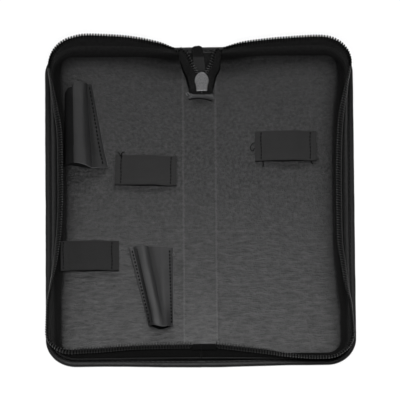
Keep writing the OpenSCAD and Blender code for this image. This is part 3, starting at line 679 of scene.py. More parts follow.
def make_lining_half(sd):
    x1, y1, y0, r = lining_edge()
    xs = np.r_[np.linspace(0, 8, 6), np.linspace(8.5, 12, 15), np.linspace(13.5, x1 - r, 44)]
    tt = np.linspace(0, 1, 13)[1:]
    cx = x1 - r + r * np.sin(tt * np.pi / 2)
    xs = np.r_[xs, cx]
    rows = 110
    P = np.zeros((len(xs), rows + 1, 3))
    for k, x in enumerate(xs):
        dy = r - math.sqrt(max(0, r * r - max(0, x - (x1 - r))**2))
        P[k, :, 0] = x
        # at its upper end the lining runs further under the wall away from the spine
        top = y1 + 2.8 * smooth(x, 12, 46) - 1.4 * smooth(x, 10, 13) * smooth(x, 40, 16) - dy
        P[k, :, 1] = np.linspace(top, y0 + dy, rows + 1)
    # where the wall leans inwards, its foot pushes the lining's edge inwards too
    along = L1 + LA + (YT - R - P[..., 1])
    lean = np.maximum(read(LEAN[sd], np.clip(along, L1 + 12, L1 + 2 * LA + L2 - 12)), 0)
    P[..., 0] -= 0.5 * lean * smooth(P[..., 0], 40, x1) * smooth(np.abs(P[..., 1]), 104, 86)
    X, Y = P[..., 0], P[..., 1]
    inner = np.minimum(np.minimum(Y[:, :1] - Y, Y - Y[:, -1:]), X[-1:] - X)
    z = T + 0.10 * wave(X * sd, Y, 21, 34, 2) * smooth(inner, 0, 8) * smooth(X, 10, 16)
    # a narrow ridge along the fold line, a faint hollow beside it
    z += 0.28 * np.exp(-((X - XC) / 0.7) ** 2)
    z += 0.1 * smooth(inner, 3.0, 0.8) - 0.32 * smooth(inner, 0.8, 0)
    P[..., 2] = z
    bag = Bag()
    U, Vv = X * sd, Y
    bag.net(P, uvs=(U, Vv), flip=True, m=lambda c: 1 if c[1] > 76.2 and abs(c[0] * sd - SLX) < 2.4 + (c[1] - 76) * 0.27 else 0)
    # turned edge
    ring = [(k, 0) for k in range(len(xs))] + [(len(xs) - 1, j) for j in range(1, rows + 1)] + [(k, rows) for k in range(len(xs) - 2, -1, -1)]
    E = np.array([P[a, b] for a, b in ring])
    low = E.copy()
    low[:, 2] = 2.32
    d = np.r_[0, np.cumsum(np.linalg.norm(np.diff(E, axis=0), axis=1))]
    UU, VV = np.meshgrid(d, [0, 0.7], indexing="ij")
    bag.net(np.stack([low, E], 1), uvs=(UU, VV))
    o = bag.out(f"{NAME[sd]}_lining_sheet", [M["lining"], M["tape"]], "lining", mirror=sd < 0)
    # painted shade: tone darkens the lining towards the walls and on its turned edge
    edge = lambda d, w, low: low + (1 - low) * (1 - np.exp(-np.maximum(d, 0) / w))
    tone = edge(Y[:, :1] - Y, 4.2, 0.25) * edge(X[-1:] - X, 4.2, 0.3) * edge(Y - Y[:, -1:], 1.6, 0.7)
    # painted light: the spine's strip is brightened towards the case's lower end
    tone = tone * (1 + 0.17 * smooth(-Y, 40, 95) * smooth(X, XC + 1, XC - 1))
    att = o.data.attributes.new("tone", "FLOAT", "POINT")
    att.data.foreach_set("value", np.r_[tone.ravel(), np.full(len(o.data.vertices) - tone.size, 0.3)].astype(np.float32))
    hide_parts(f"{NAME[sd]}_lining", *(["spine_lining"] if sd > 0 else []))
    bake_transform(o)


# ------------------------------------------------------------------ gusset wall, facing, tape and coil
END_S = LS + XC       # the wall runs on to the middle of the spine's lower end


def s_values(a, b, step):
    return np.linspace(a, b, max(2, int(round((b - a) / step)) + 1))


def make_wall(sd):
    s = s_values(5.2, END_S, 1.5)
    m = len(s)
    f, n = foot_line(s)

    def low(q, z):
        q, z = np.broadcast_to(q, s.shape), np.broadcast_to(z, s.shape)
        return np.stack([f[:, 0] + n[:, 0] * q, f[:, 1] + n[:, 1] * q, z], -1)

    tops = np.array([0.0, 0.07, 0.16, 0.26, 0.36, 0.46, 0.54, 0.6, 0.625])
    # along the case's lower end the vinyl is only a narrow strip and the tape shows above it
    kv = 1 - 0.62 * smooth(s, L1 + LA + L2 - 6, L1 + LA + L2 + LA + 6)
    foot_in = lambda t: -0.75 * (1 - smooth(t, 0, 0.3))
    pucker = lambda t, k: 0.16 * wave(s, 0 * s + t * 9, 31 + sd, 17, 3) * np.sin(np.pi * min(1, t / 0.62)) + 0.0 * k
    fold_in = 0.16 * smooth(s, 66, 74) * smooth(s, 100, 90) + 0.12 * smooth(s, 262, 270) * smooth(s, 300, 288)
    corner = fold_in * np.sin(s * 2.2) * 2.0
    ring = [low(6.5, 1.95), low(0.3, 1.95)]
    for t in tops:
        puff = 0.05 * math.sin(math.pi * min(1, t / 0.62)) + (0.04 if 0.5 < t < 0.61 else 0)
        ring.append(wall(sd, s, t * kv, 0.42 + puff * 0.6 + foot_in(t) + pucker(t, 0) + corner * math.sin(math.pi * min(1, t / 0.62))))
    ring.append(wall(sd, s, 0.628 * kv, 0.22))
    for t in tops[::-1]:
        ring.append(wall(sd, s, t * kv, 0.06 + foot_in(t) + pucker(t, 0) * 0.6 - 0.08 * (t < 0.3)))
    ring += [low(1.4, 2.42), low(6.5, 2.42)]
    P = np.stack(ring, 1)
    U = np.repeat(s[:, None], P.shape[1] + 1, 1)
    seg = np.linalg.norm(np.diff(np.concatenate([P, P[:, :1]], 1), axis=1), axis=2).mean(0)
    Vv = np.repeat(np.r_[0, np.cumsum(seg)][None], m, 0)
    o = Bag().net(P, wrap=True, cap=True, uvs=(U, Vv)).out(f"{NAME[sd]}_gusset_wall", M["gusset"], "outer_vinyl", mirror=sd < 0)
    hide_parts(f"{NAME[sd]}_gusset", *(["spine_end_gusset"] if sd > 0 else []))
    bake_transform(o)

    # cloth facing on the inner side, from the flange up to the tape
    ts = np.r_[np.linspace(0.0, 0.56, 8)]
    s = np.r_[np.linspace(1.3, 4.9, 8), s]
    m = len(s)
    f, n = foot_line(s)
    cut = 0.25 + 0.75 * smooth(s, 1.3, 5.2)

    def side_wall(t, o):
        q = wall(sd, np.maximum(s, 5.2), t * cut, o)
        q[:, 0] += s - np.maximum(s, 5.2)
        return q

    ring = [low(10.5, 2.52), low(2.6, 2.56)] + [side_wall(t, -0.34 - 1.0 * (1 - smooth(t, 0, 0.2)) - 0.08 * wave(s, 0 * s + t * 7, 77, 15, 3)) for t in ts]
    ring += [side_wall(0.57, -0.5)]
    ring += [side_wall(t, -0.64 - 1.0 * (1 - smooth(t, 0, 0.2)) - 0.08 * wave(s, 0 * s + t * 7, 77, 15, 3)) for t in ts[::-1]] + [low(2.9, 2.85), low(10.5, 2.68)]
    P = np.stack(ring, 1)
    o = Bag().net(P, wrap=True, cap=True).out(f"{NAME[sd]}_facing_cloth", M["facing"], "tape_cloth", mirror=sd < 0)
    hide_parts(f"{NAME[sd]}_gusset_facing", *(["spine_end_facing"] if sd > 0 else []))
    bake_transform(o)

    # zip tape
    s2 = s_values(S_TAIL, END_S, 1.5)
    ts = np.linspace(0.3, 0.94, 8)
    k2 = 1 - smooth(s2, L1 + LA + L2 - 10, L1 + LA + L2 + LA + 2)
    tt = lambda t: t - (0.94 - t) / 0.64 * 0.2 * (1 - k2)
    wob = lambda t: 0.05 * wave(s2, 0 * s2 + t * 8, 91 + sd, 12, 2) * (1 - t)
    ring = [wall(sd, s2, tt(t), -0.02 + wob(t)) for t in ts] + [wall(sd, s2, 0.952, -0.2)] + [wall(sd, s2, tt(t), -0.38 + wob(t)) for t in ts[::-1]]
    P = np.stack(ring, 1)
    U = np.repeat(s2[:, None], P.shape[1] + 1, 1)
    seg = np.linalg.norm(np.diff(np.concatenate([P, P[:, :1]], 1), axis=1), axis=2).mean(0)
    Vv = np.repeat(np.r_[0, np.cumsum(seg)][None], len(s2), 0)
    o = Bag().net(P, wrap=True, cap=True, uvs=(U, Vv)).out(f"{NAME[sd]}_zip_tape_cloth", M["tape"], "tape_cloth", mirror=sd < 0)
    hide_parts(f"{NAME[sd]}_zip_tape", *(["spine_end_tape"] if sd > 0 else []))
    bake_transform(o)

    # stitches: gusset to tape on the outside
    bag = Bag()
    ss = np.arange(6.5, END_S - 1, 2.9)
    kvs = 1 - 0.62 * smooth(ss, L1 + LA + L2 - 6, L1 + LA + L2 + LA + 6)
    for t, off, out in ((0.575 * kvs, 0.6, 1),):
        p = wall(sd, ss, t, off)
        d = unit(wall(sd, ss + 0.5, t, off) - wall(sd, ss - 0.5, t, off))
        a = unit(wall(sd, ss, t + 0.1, off) - p)
        u = np.cross(d, a) if True else a
        up = unit(wall(sd, ss, t, off + out) - p)
        capsules(bag, p, d, up, 2.1, 0.19)
    o = bag.out(f"{NAME[sd]}_gusset_stitches", M["wall_thread"], "thread", mirror=sd < 0)
    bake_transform(o)


PITCH = 1.7
HEAD = -1.15      # how far the tooth heads stand beyond the designed edge, as a distance down from it


def coil_path(edge, down, out, dist, d0, d1, thin=1.0):
    """The wound filament of a zip coil: edge, down and out give the tape's edge point and its directions at dist."""
    per = 18
    k0, k1 = int(math.ceil(d0 / PITCH)), int(math.floor(d1 / PITCH))
    ph = np.arange(k0 * per, k1 * per + 1) / per
    cyc = ph % 1.0
    # a turn: the leg on the outer face, square to the edge, then back against the tape, shifting to the next tooth near its back end
    d = (np.floor(ph) + smooth(cyc, 0.4, 0.72)) * PITCH
    c = np.where(cyc < 0.46, HEAD + (2.7 - HEAD) * smooth(cyc, -0.06, 0.46), 2.7 - (2.7 - HEAD) * smooth(cyc, 0.5, 1.06))
    turn = np.sin(cyc * 2 * np.pi)
    o = 0.72 + np.where(turn > 0, 0.5, 0.95 * thin) * turn
    e = np.stack([np.interp(d, dist, edge[:, i]) for i in range(3)], -1)
    dn = unit(np.stack([np.interp(d, dist, down[:, i]) for i in range(3)], -1))
    ou = unit(np.stack([np.interp(d, dist, out[:, i]) for i in range(3)], -1))
    path = e + dn * c[:, None] + ou * o[:, None]
    tip = np.exp(-((cyc - np.round(cyc)) / 0.17) ** 2)
    t = unit(np.gradient(path, axis=0))
    side = np.cross(dn, ou)
    side = unit(side - t * (side * t).sum(-1, keepdims=True))
    up = np.cross(t, side)
    # the tooth heads are pressed wider along the edge
    leg = smooth(np.sin(cyc * 2 * np.pi), -0.1, 0.5)
    wide = smooth(path[:, 1], 78, 94) * (thin == 1)
    return path, side, up, (0.37 + 0.11 * leg + 0.03 * tip) * thin + wide * (0.26 - 0.16 * tip), (0.34 + 0.1 * tip) * thin


def make_coil(name, edge, down, out, d0, d1, sd, mat="coil"):
    dist = np.r_[0, np.cumsum(np.linalg.norm(np.diff(edge, axis=0), axis=1))]
    path, side, up, ra, rb = coil_path(edge, down, out, dist, max(d0, 0), min(d1, dist[-1]), 0.62 if mat == "loose_coil" else 1.0)
    # teeth at the case's upper end take the dark matt nylon: painted shade
    bag = Bag().net(tube(path, side, up, ra, rb, n=6), wrap=True, cap=True, m=lambda c: 1 if mat == "coil" and c[1] > 91 else 0)
    # the cord the filament is wound round shows between its turns, painted dark as shade
    pick = lambda A, q: np.stack([np.interp(q, dist, A[:, i]) for i in range(3)], -1)
    q = np.arange(max(d0, 0) + 0.3, min(d1, dist[-1]) - 0.3, 1.2)
    dn, ou = unit(pick(down, q)), unit(pick(out, q))
    high = smooth(pick(edge, q)[:, 1], 78, 94) * (mat == "coil") * 0.22
    bag.net(tube(pick(edge, q) + dn * (1.42 - high)[:, None] + ou * 0.7, dn, ou, 1.02 + high, 0.5, n=8), wrap=True, cap=True, m=1)
    o = bag.out(name, [M[mat], M["coil_shade"]], "coil_nylon", mirror=sd < 0)
    # the two chain-stitch rows that hold the coil on the tape
    bag = Bag()
    dd = np.arange(max(d0, 0) + 0.6, min(d1, dist[-1]) - 0.5, PITCH)
    pick = lambda A, q: np.stack([np.interp(q, dist, A[:, i]) for i in range(3)], -1)
    for c in (0.9, 1.9):
        e, dn, ou = pick(edge, dd), unit(pick(down, dd)), unit(pick(out, dd))
        p = e + dn * c + ou * 1.44
        capsules(bag, p - ou * 0.12, unit(pick(edge, dd + 0.4) - pick(edge, dd - 0.4)), ou, 1.5, 0.14)
    o2 = bag.out(name + "_thread", M["thread"], "thread", mirror=sd < 0)
    return o, o2


def wall_edge(sd, s):
    e = wall(sd, s, 1.0, 0.0)
    down = unit(wall(sd, s, 0.8, 0.0) - e)
    out = unit(wall(sd, s, 0.9, 1.0) - wall(sd, s, 0.9, 0.0))
    return e, down, out


# ------------------------------------------------------------------ loose ends of the zip at the spine's upper end
TAIL = [
    [[-11.5, 103.6, 11.6], [-12.2, 103.8, 7.5], [-12.8, 104.4, 3.5]],
    [[-8.6, 101.6, 10.6], [-10.2, 100.8, 6.8], [-12.2, 101.2, 3.4]],
    [[-6.3, 98.3, 9.4], [-8.6, 97.3, 6.4], [-11.3, 97, 3.4]],
    [[-4, 94.3, 8], [-6.8, 93.3, 6.4], [-10.2, 92.6, 3.4]],
    [[-1, 90.4, 6.95], [-4.4, 89.9, 6.7], [-9, 89.4, 3.4]],
    [[0.4, 87, 6.75], [-3, 86.8, 6.75], [-8, 86.4, 3.4]],
    [[1.4, 82.5, 6.75], [-2.8, 82.5, 6.75], [-6.9, 82, 3.4]],
    [[1.62, 80, 6.75], [-2.8, 80, 6.75], [-6.3, 79.6, 3.4]],
    [[1.62, 76.9, 6.75], [-2.8, 76.9, 6.75], [-5.8, 76.9, 3.4]],
    [[1.62, 76.1, 5.6], [-2.6, 76.1, 5.6], [-5.4, 76.1, 3.4]],
    [[1.62, 75.5, 3.75], [-2.2, 75.5, 3.75], [-5, 75.5, 3.4]],
    [[1.62, 75.0, 3.5], [-2, 75.0, 3.5], [-4.6, 75.0, 3.4]]]


def tail_rows(sd):
    """Rows of the loose end as [tooth edge, middle, outer edge], with x measured towards the cover, so positive."""
    rows = [[wall(sd, S_TAIL, t, -0.16) for t in (1, 0.5, 0.07)]]
    for i, q in enumerate(TAIL):
        q = np.array(q, float)
        if sd > 0:
            c = SLX * min(1, (i + 1) / 4)
            q[:, 0] = 2 * c - q[:, 0]
            q[2, 0] -= min(1, i / 4)
        else:
            q[:, 0] = -q[:, 0]
        rows.append(q)
    return np.array(rows)


def make_tail(sd):
    rows = tail_rows(sd)
    m = np.linspace(0, len(rows) - 1, 97)
    S = spline(rows, m)                          # (97, 3 points, xyz)
    Tt, Mm, Oo = S[:, 0], S[:, 1], S[:, 2]
    along = unit(np.gradient(Mm, axis=0))
    across = unit(Mm - Tt)
    nrm = unit(np.cross(across, along))
    nrm *= np.where(nrm[:, 2:3] > 0, -1, 1)      # the coil's side: downwards and outwards
    # tape: a soft curve from the coil's back over the middle to the sewn-down outer edge
    pts = []
    for u in np.linspace(0, 1, 11):
        a, b, c = Tt + across * (1.0 + 1.0 * smooth(m, 2, 6) - 1.95 * smooth(m, 7.7, 8.7))[:, None], Mm, Oo
        q = (1 - u) ** 2 * a + 2 * u * (1 - u) * (2 * b - 0.5 * a - 0.5 * c) + u * u * c
        pts.append(q)
    top = np.stack(pts, 1)
    t2 = np.gradient(top, axis=1)
    n2 = unit(np.cross(unit(t2), along[:, None]))
    n2 *= np.where((n2 * nrm[:, None]).sum(-1, keepdims=True) < 0, -1, 1)
    fade = smooth(m, 0, 0.6)[:, None]
    ripple = 0.12 * wave(m[:, None] * 3, np.linspace(0, 1, 11)[None] * 5, 55 + sd, 6, 2) * fade
    up = top - n2 * (0.18 + ripple[..., None])
    dn = top + n2 * (0.18 - ripple[..., None])
    P = np.concatenate([up, dn[:, ::-1]], 1)
    U = np.repeat(np.r_[0, np.cumsum(np.linalg.norm(np.diff(Mm, axis=0), axis=1))][:, None], P.shape[1] + 1, 1)
    v = np.r_[0, np.cumsum(np.linalg.norm(np.diff(np.concatenate([P, P[:, :1]], 1), axis=1), axis=2).mean(0))]
    # the loose tape's faces low by the lining take the dark coil nylon: painted shade
    bag = Bag().net(P, wrap=True, cap=True, uvs=(U, np.repeat(v[None], len(m), 0)), m=lambda c: 1 if c[2] < 4.2 and c[1] < 99 else 0)
    o = bag.out(f"{NAME[sd]}_loose_tape", [M["loose_tape"], M["coil_shade"]], "tape_cloth", mirror=sd < 0)
    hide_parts(f"{NAME[sd]}_tape_tail")
    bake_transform(o)
    last = 8.55 / (len(rows) - 1) * 96
    k = int(last)
    o, o2 = make_coil(f"{NAME[sd]}_loose_coil", Tt[:k] + 0.0, across[:k], nrm[:k], 0.3, 999, sd, "loose_coil")
    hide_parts(f"{NAME[sd]}_coil_tail")
    for q in (o, o2):
        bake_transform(q)


def make_coils(sd):
    s = s_values(S_TAIL - 0.3, END_S, 0.8)
    e, down, out = wall_edge(sd, s)
    # the coil rows stop short of the middle of the spine's lower end
    stop = LS + (4.6 if sd < 0 else 0.9)
    k = int(np.searchsorted(s, stop))
    o, o2 = make_coil(f"{NAME[sd]}_coil_teeth", e[:k], down[:k], out[:k], 0.6, 9999, sd)
    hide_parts(f"{NAME[sd]}_zip_coil", *(["spine_end_coils"] if sd > 0 else []))
    for q in (o, o2):
        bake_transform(q)
    # between them the coil's edge is wrapped in folded tape
    s = s_values(stop + 0.2, END_S, 0.8)
    ring = [wall(sd, s, 0.70, 0.03), wall(sd, s, 0.72, 0.8), wall(sd, s, 0.76, 1.25), wall(sd, s, 0.84, 1.45), wall(sd, s, 0.92, 1.4), wall(sd, s, 0.97, 1.1),
            wall(sd, s, 0.995, 0.5), wall(sd, s, 0.97, -0.1), wall(sd, s, 0.9, -0.42), wall(sd, s, 0.72, -0.45), wall(sd, s, 0.71, -0.2)]
    o = Bag().net(np.stack(ring, 1), wrap=True, cap=True).out(f"{NAME[sd]}_zip_wrap", M["tape"], "tape_cloth", mirror=sd < 0)
    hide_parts(*(["spine_end_wrap"] if sd > 0 else []))
    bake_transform(o)


# ------------------------------------------------------------------ elastic loops
LOOPS = {
    "centre_elastic_loop": (-33.3, 24, -1.5, 38, 3.6, -1),
    "lower_elastic_loop": (-68.2, -34, 0, 36, 4.4, -1),
    "right_elastic_loop": (53.3, 40, 0, 38, 3.8, 1),
}


def make_loop(node, cx, cy, turn, length, sew, sd):
    w, th, h = 20.5, 1.15, 1.1
    a = length / 2
    b = a - sew - 1.6
    xs = np.r_[np.linspace(-a, -b, 9), np.linspace(-b, b, 37)[1:-1], np.linspace(b, a, 9)]
    ys = np.linspace(-w / 2, w / 2, 43)
    X, Y = np.meshgrid(xs, ys, indexing="ij")
    lift = np.where(np.abs(X) < b, h * smooth(b - np.abs(X), 0, 9) * (0.85 + 0.15 * np.cos(Y / w * math.pi)), 0)
    lift = lift + 0.06 * wave(X, Y, 3 + len(node), 9, 2) * smooth(b - np.abs(X), 0, 3)
    lift = lift + 0.7 * smooth(-Y, w / 2 - 5, w / 2)
    ribs = 0.05 * np.abs(np.sin((Y + w / 2) / 1.55 * math.pi))
    edge = 0.35 * smooth(np.abs(Y), w / 2 - 0.9, w / 2)
    sag = 0.22 * np.exp(-((np.abs(X) - (a - sew)) / 0.5) ** 2)
    top = T + 0.05 + lift + th + ribs - edge - sag
    bot = T + 0.05 + lift + 0 * X
    wob = 0.12 * np.sin(X * 0.35 + len(node))
    Yw = Y + wob
    rot = math.radians(turn)

    def place(P):
        q = P.copy()
        q[..., 0] = cx + P[..., 0] * math.cos(rot) - P[..., 1] * math.sin(rot)
        q[..., 1] = cy + P[..., 0] * math.sin(rot) + P[..., 1] * math.cos(rot)
        return q

    Pt, Pb = place(np.stack([X, Yw, top], -1)), place(np.stack([X, Yw, bot], -1))
    bag = Bag()
    bag.net(Pt, uvs=(X, Y), flip=True)
    bag.net(Pb, uvs=(X, Y))
    # the long sides take the dark cloth as painted shade, the front one reaching down to the lining
    for i, fl in ((0, False), (len(ys) - 1, True)):
        Pb[:, i, 2] = np.minimum(Pb[:, i, 2], T + 0.06) if i == 0 else Pb[:, i, 2]
        bag.net(np.stack([Pb[:, i], Pt[:, i]], 1), m=1, flip=not fl, uvs=(np.stack([xs, xs], 1), np.stack([0 * xs, 0 * xs + th], 1)))
    for i, fl in ((0, True), (len(xs) - 1, False)):
        bag.net(np.stack([Pb[i], Pt[i]], 1), flip=not fl, uvs=(np.stack([0 * ys, 0 * ys + th], 1), np.stack([ys, ys], 1)))
    o = bag.out(node + "_webbing", [M["painted_shade_elastic" if cx < -60 else "elastic"], M["shade"]], "elastic")
    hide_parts(node)
    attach(o, COVER[sd])
    return place, a, sew, w, th


# ------------------------------------------------------------------ sheaths
# rows: y, then pairs of x and height above the lining across the sheath, from its left edge to its right one
SHEATH_U = [
    [82.6, (-82.7, 0.1), (-81.6, 2.0), (-79.6, 3.6), (-77.0, 4.4), (-73.4, 4.2), (-71.0, 2.9), (-69.6, 1.6), (-68.6, 1.5), (-67.5, 1.0), (-66.8, 0.1)],
    [70, (-82.8, 0.1), (-81.7, 2.4), (-79.3, 4.3), (-76.9, 5.4), (-72.9, 5.2), (-70.6, 3.3), (-69.0, 1.7), (-67.4, 1.8), (-65.7, 1.2), (-64.7, 0.1)],
    [52, (-83.0, 0.1), (-81.9, 2.6), (-79.1, 4.9), (-76.6, 6.2), (-72.6, 5.9), (-69.9, 3.6), (-67.9, 1.8), (-65.5, 2.1), (-63.0, 1.3), (-61.7, 0.1)],
    [38, (-83.2, 0.1), (-82.1, 2.8), (-79.0, 5.3), (-76.3, 6.6), (-72.0, 6.2), (-69.2, 3.8), (-67.0, 1.9), (-63.9, 2.3), (-60.8, 1.4), (-59.4, 0.1)],
    [26.6, (-83.3, 0.1), (-82.2, 2.9), (-78.8, 5.5), (-76.1, 6.8), (-71.4, 6.3), (-68.4, 4.0), (-66.2, 2.3), (-62.4, 2.4), (-58.6, 1.2), (-56.8, 0.1)]]
SHEATH_L = [
    [-28.8, (-43.9, 0.1), (-43.3, 0.5), (-41.2, 0.8), (-39.6, 2.4), (-36.2, 3.2), (-33.6, 2.2), (-31.6, 1.2), (-24.5, 1.9), (-18.6, 1.0), (-17.2, 0.1)],
    [-42, (-40.8, 0.1), (-40.2, 0.5), (-38.2, 0.9), (-36.6, 3.0), (-33.4, 3.9), (-31.2, 2.6), (-29.2, 1.4), (-23.6, 2.2), (-18.6, 1.0), (-17.2, 0.1)],
    [-56, (-37.6, 0.1), (-37.0, 0.5), (-35.2, 1.1), (-33.6, 3.4), (-30.6, 4.3), (-28.6, 3.0), (-26.8, 1.8), (-22.8, 2.5), (-18.7, 1.1), (-17.2, 0.1)],
    [-70, (-34.3, 0.1), (-33.7, 0.6), (-32.2, 1.6), (-30.4, 4.0), (-27.6, 4.6), (-25.9, 3.5), (-24.5, 2.5), (-22.0, 2.8), (-18.8, 1.2), (-17.2, 0.1)],
    [-81.2, (-31.8, 0.1), (-31.2, 1.0), (-29.9, 3.6), (-28.2, 5.8), (-26.0, 6.4), (-24.2, 5.9), (-22.6, 5.1), (-20.7, 3.9), (-18.8, 1.3), (-17.2, 0.1)]]
# painted light and shade across a sheath, from its valley line: distance in mm and tone
TONE_U = ([-6, -3.4, -1.6, -0.3, 0.8, 2.4, 5.0], [1.04, 1.0, 0.82, 0.56, 0.56, 0.72, 0.8])
TONE_L = ([-9.5, -7.5, -6.0, -3.4, -1.6, -0.2, 1.0, 3.0, 5.0], [1.35, 1.08, 1.32, 1.3, 0.96, 0.62, 0.68, 0.96, 1.04])


def make_sheath(node, rows, hem, dark=None, valley=None, tones=None):
    """hem[0](u) and hem[1](u) move the two open ends along Y, u running across from the left edge to the right one.
    dark is the height of the flank's edge; the flank takes the dark cloth as painted shade.
    """
    th = 0.6
    table = np.array([[(x, r[0], h) for x, h in r[1:]] for r in rows])
    S = spline(table, np.linspace(0, len(rows) - 1, 61))
    P = np.array([spline(q, np.linspace(0, len(q) - 1, 73)) for q in S])
    P[..., 2] = np.maximum(P[..., 2], 0.02) + T + 0.05
    u = (P[..., 0] - P[:, :1, 0]) / (P[:, -1:, 0] - P[:, :1, 0])
    end = np.linspace(0, 1, len(S))[:, None]
    P[..., 1] += hem[0](u) * (1 - smooth(end, 0, 0.2)) + hem[1](u) * smooth(end, 0.8, 1)
    rise = smooth(P[..., 2], T + 0.6, T + 2.4)
    P[..., 2] += 0.13 * wave(P[..., 0], P[..., 1] * 0.3, 8, 12, 2) * rise
    ta, tb = np.gradient(P, axis=0), np.gradient(P, axis=1)
    n = unit(np.cross(ta, tb))
    n *= np.where(n[..., 2:] < 0, -1, 1)
    top = P + n * th
    d = np.r_[0, np.cumsum(np.abs(np.diff(S[:, 0, 1])))]
    v = np.r_[0, np.cumsum(np.linalg.norm(np.diff(P, axis=1), axis=2).mean(0))]
    sheet = np.concatenate([P, top[:, ::-1]], 1)
    # faces left of dark take the dark cloth: painted shade
    pick = (lambda q: 1 if dark is not None and q[0] < dark(q[1]) else 0)
    bag = Bag().net(sheet, wrap=True, cap=False, m=pick, flip=True,
                    uvs=(np.repeat(d[:, None], sheet.shape[1] + 1, 1), np.repeat(np.r_[v, v[-1] + 0.7 + v, 2 * v[-1] + 1.4][None], len(d), 0)))
    # a curtain of painted shade closes the tube a little inside its lower end, down to the lining
    q = P[-2].copy()
    foot = q.copy()
    foot[:, 2] = np.minimum(q[:, 2], T + 0.06)
    bag.net(np.stack([foot, q], 1), m=1)
    # the cut hems at the two open ends; the lower one in painted shade beside the flank and a painted highlight
    # elsewhere
    for k, fl in ((0, False), (len(S) - 1, True)):
        a, b = P[k], top[k]
        mid = (a + b) / 2 + np.array([0, 0.22 if k == 0 else -0.35, 0])
        bag.net(np.stack([a, mid, b], 1), flip=fl, m=(lambda c: 1 if dark is not None and c[0] < dark(c[1]) else 2) if k else 0)
    # a painted highlight along the right side's cut edge
    rim = (P[:, -1] + top[:, -1]) / 2 + [0.05, 0, 0]
    t, side, up = frames(rim, (0, 0, 1.0))
    bag.net(tube(rim, side, up, 0.3, 0.42, n=6), wrap=True, cap=True, m=2)
    o = bag.out(node + "_vinyl", [M["sheath"], M["shade"], M["edge"]], "sheath_vinyl")
    co = np.empty(len(o.data.vertices) * 3)
    o.data.vertices.foreach_get("co", co)
    co = co.reshape(-1, 3) * 1000
    # painted light and shade: tone is set by the distance from the sheath's valley line
    att = o.data.attributes.new("tone", "FLOAT", "POINT")
    off = co[:, 0] - np.interp(co[:, 1], *valley)
    att.data.foreach_set("value", np.interp(off, *tones).astype(np.float32))
    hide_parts(node)
    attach(o, "left_cover")
    return P, top


# ------------------------------------------------------------------ slider and tab
def plate_ring(w, z, dx=SLX):
    prof = np.array([[3.4, 0], [3.5, 2.2], [3.75, 4.1], [4.35, 6.4], [4.2, 8.5], [3.3, 10.6], [2.15, 12.0], [0.9, 12.85]], float)
    k = np.linspace(0, len(prof) - 1, 36)
    s = spline(prof, k)
    s = np.r_[[[3.1, 0]], [[3.32, 0.08]], s[1:], [[0, 13.05]]]
    cen = np.array([0, 6.3])
    right = s
    left = s[::-1][1:] * [-1, 1]
    ring = np.r_[right, left]
    # inset by w along the outline's own normal
    nxt, prv = np.roll(ring, -1, 0), np.roll(ring, 1, 0)
    t = unit(nxt - prv)
    nin = np.stack([-t[:, 1], t[:, 0]], -1)
    if w > 0.3:
        ring = ring + nin * 0.3
        k = max(0.02, 1 - (w - 0.3) / 2.6)
        ring = (ring - [0, 6.3]) * [k, k] + [0, 6.3]
    else:
        ring = ring + nin * w
    return np.column_stack([ring[:, 0] + dx, 76.5 + ring[:, 1], np.full(len(ring), z)])


def plate_face(bag, w, z, rise, flip):
    """A gently domed face inside a plate's ring, woven from its right half to its left half."""
    ring = plate_ring(w, z)
    n = (len(ring) + 1) // 2
    right = ring[:n]
    left = np.r_[ring[n:][::-1], ring[n - 1:n]]
    c = np.linspace(0, 1, 11)
    P = right[:, None] + (left - right)[:, None] * c[None, :, None]
    k = np.linspace(0, 1, n)[:, None]
    P[..., 2] += rise * (1 - (2 * c[None] - 1) ** 2) * smooth(k, 0, 0.12) * smooth(k, 1, 0.8)
    bag.net(P, flip=flip)


def make_slider():
    bag = Bag()
    zb = [(0.25, 7.1), (0.05, 7.1), (0.0, 7.16), (0.0, 7.5), (0.08, 7.64), (0.26, 7.74)]
    bag.net(np.array([plate_ring(w, z) for w, z in zb]), wrap=True)
    plate_face(bag, 0.26, 7.74, 0.1, False)
    plate_face(bag, 0.25, 7.1, 0, True)
    zf = [(0.25, 5.1), (0.05, 5.1), (0.0, 5.04), (0.0, 4.7), (0.12, 4.56), (0.28, 4.5)]
    bag.net(np.array([plate_ring(w, z) for w, z in zf]), wrap=True, flip=True)
    plate_face(bag, 0.28, 4.5, 0, True)
    plate_face(bag, 0.25, 5.1, 0, False)

    def block(x0, x1, y0, y1, z0, z1, r=0.12, flip=False):
        rings = []
        for w, z in ((r, z0), (0, z0 + r), (0, z1 - r), (r, z1)):
            rings.append([[x0 + w, y0 + w + r, z], [x0 + w + r, y0 + w, z], [x1 - w - r, y0 + w, z], [x1 - w, y0 + w + r, z],
                          [x1 - w, y1 - w - r, z], [x1 - w - r, y1 - w, z], [x0 + w + r, y1 - w, z], [x0 + w, y1 - w - r, z]])
        bag.net(np.array(rings), wrap=True, cap=True)

    for m in (-1, 1):
        block(SLX + m * 3.3 - 0.3, SLX + m * 3.3 + 0.3, 77.0, 83.2, 5.05, 6.35)
    block(SLX - 0.5, SLX + 0.5, 85.5, 88.8, 5.05, 7.15, 0.2)
    block(SLX - 0.8, SLX + 0.8, 79.5, 80.5, 3.3, 4.55)
    block(SLX - 0.8, SLX + 0.8, 86.3, 87.3, 3.3, 4.55)
    block(SLX - 0.8, SLX + 0.8, 79.5, 87.3, 3.06, 3.66)
    o = bag.out("slider_casting", M["metal"], "slider_metal")
    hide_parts("slider_body")
    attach(o, "slider")


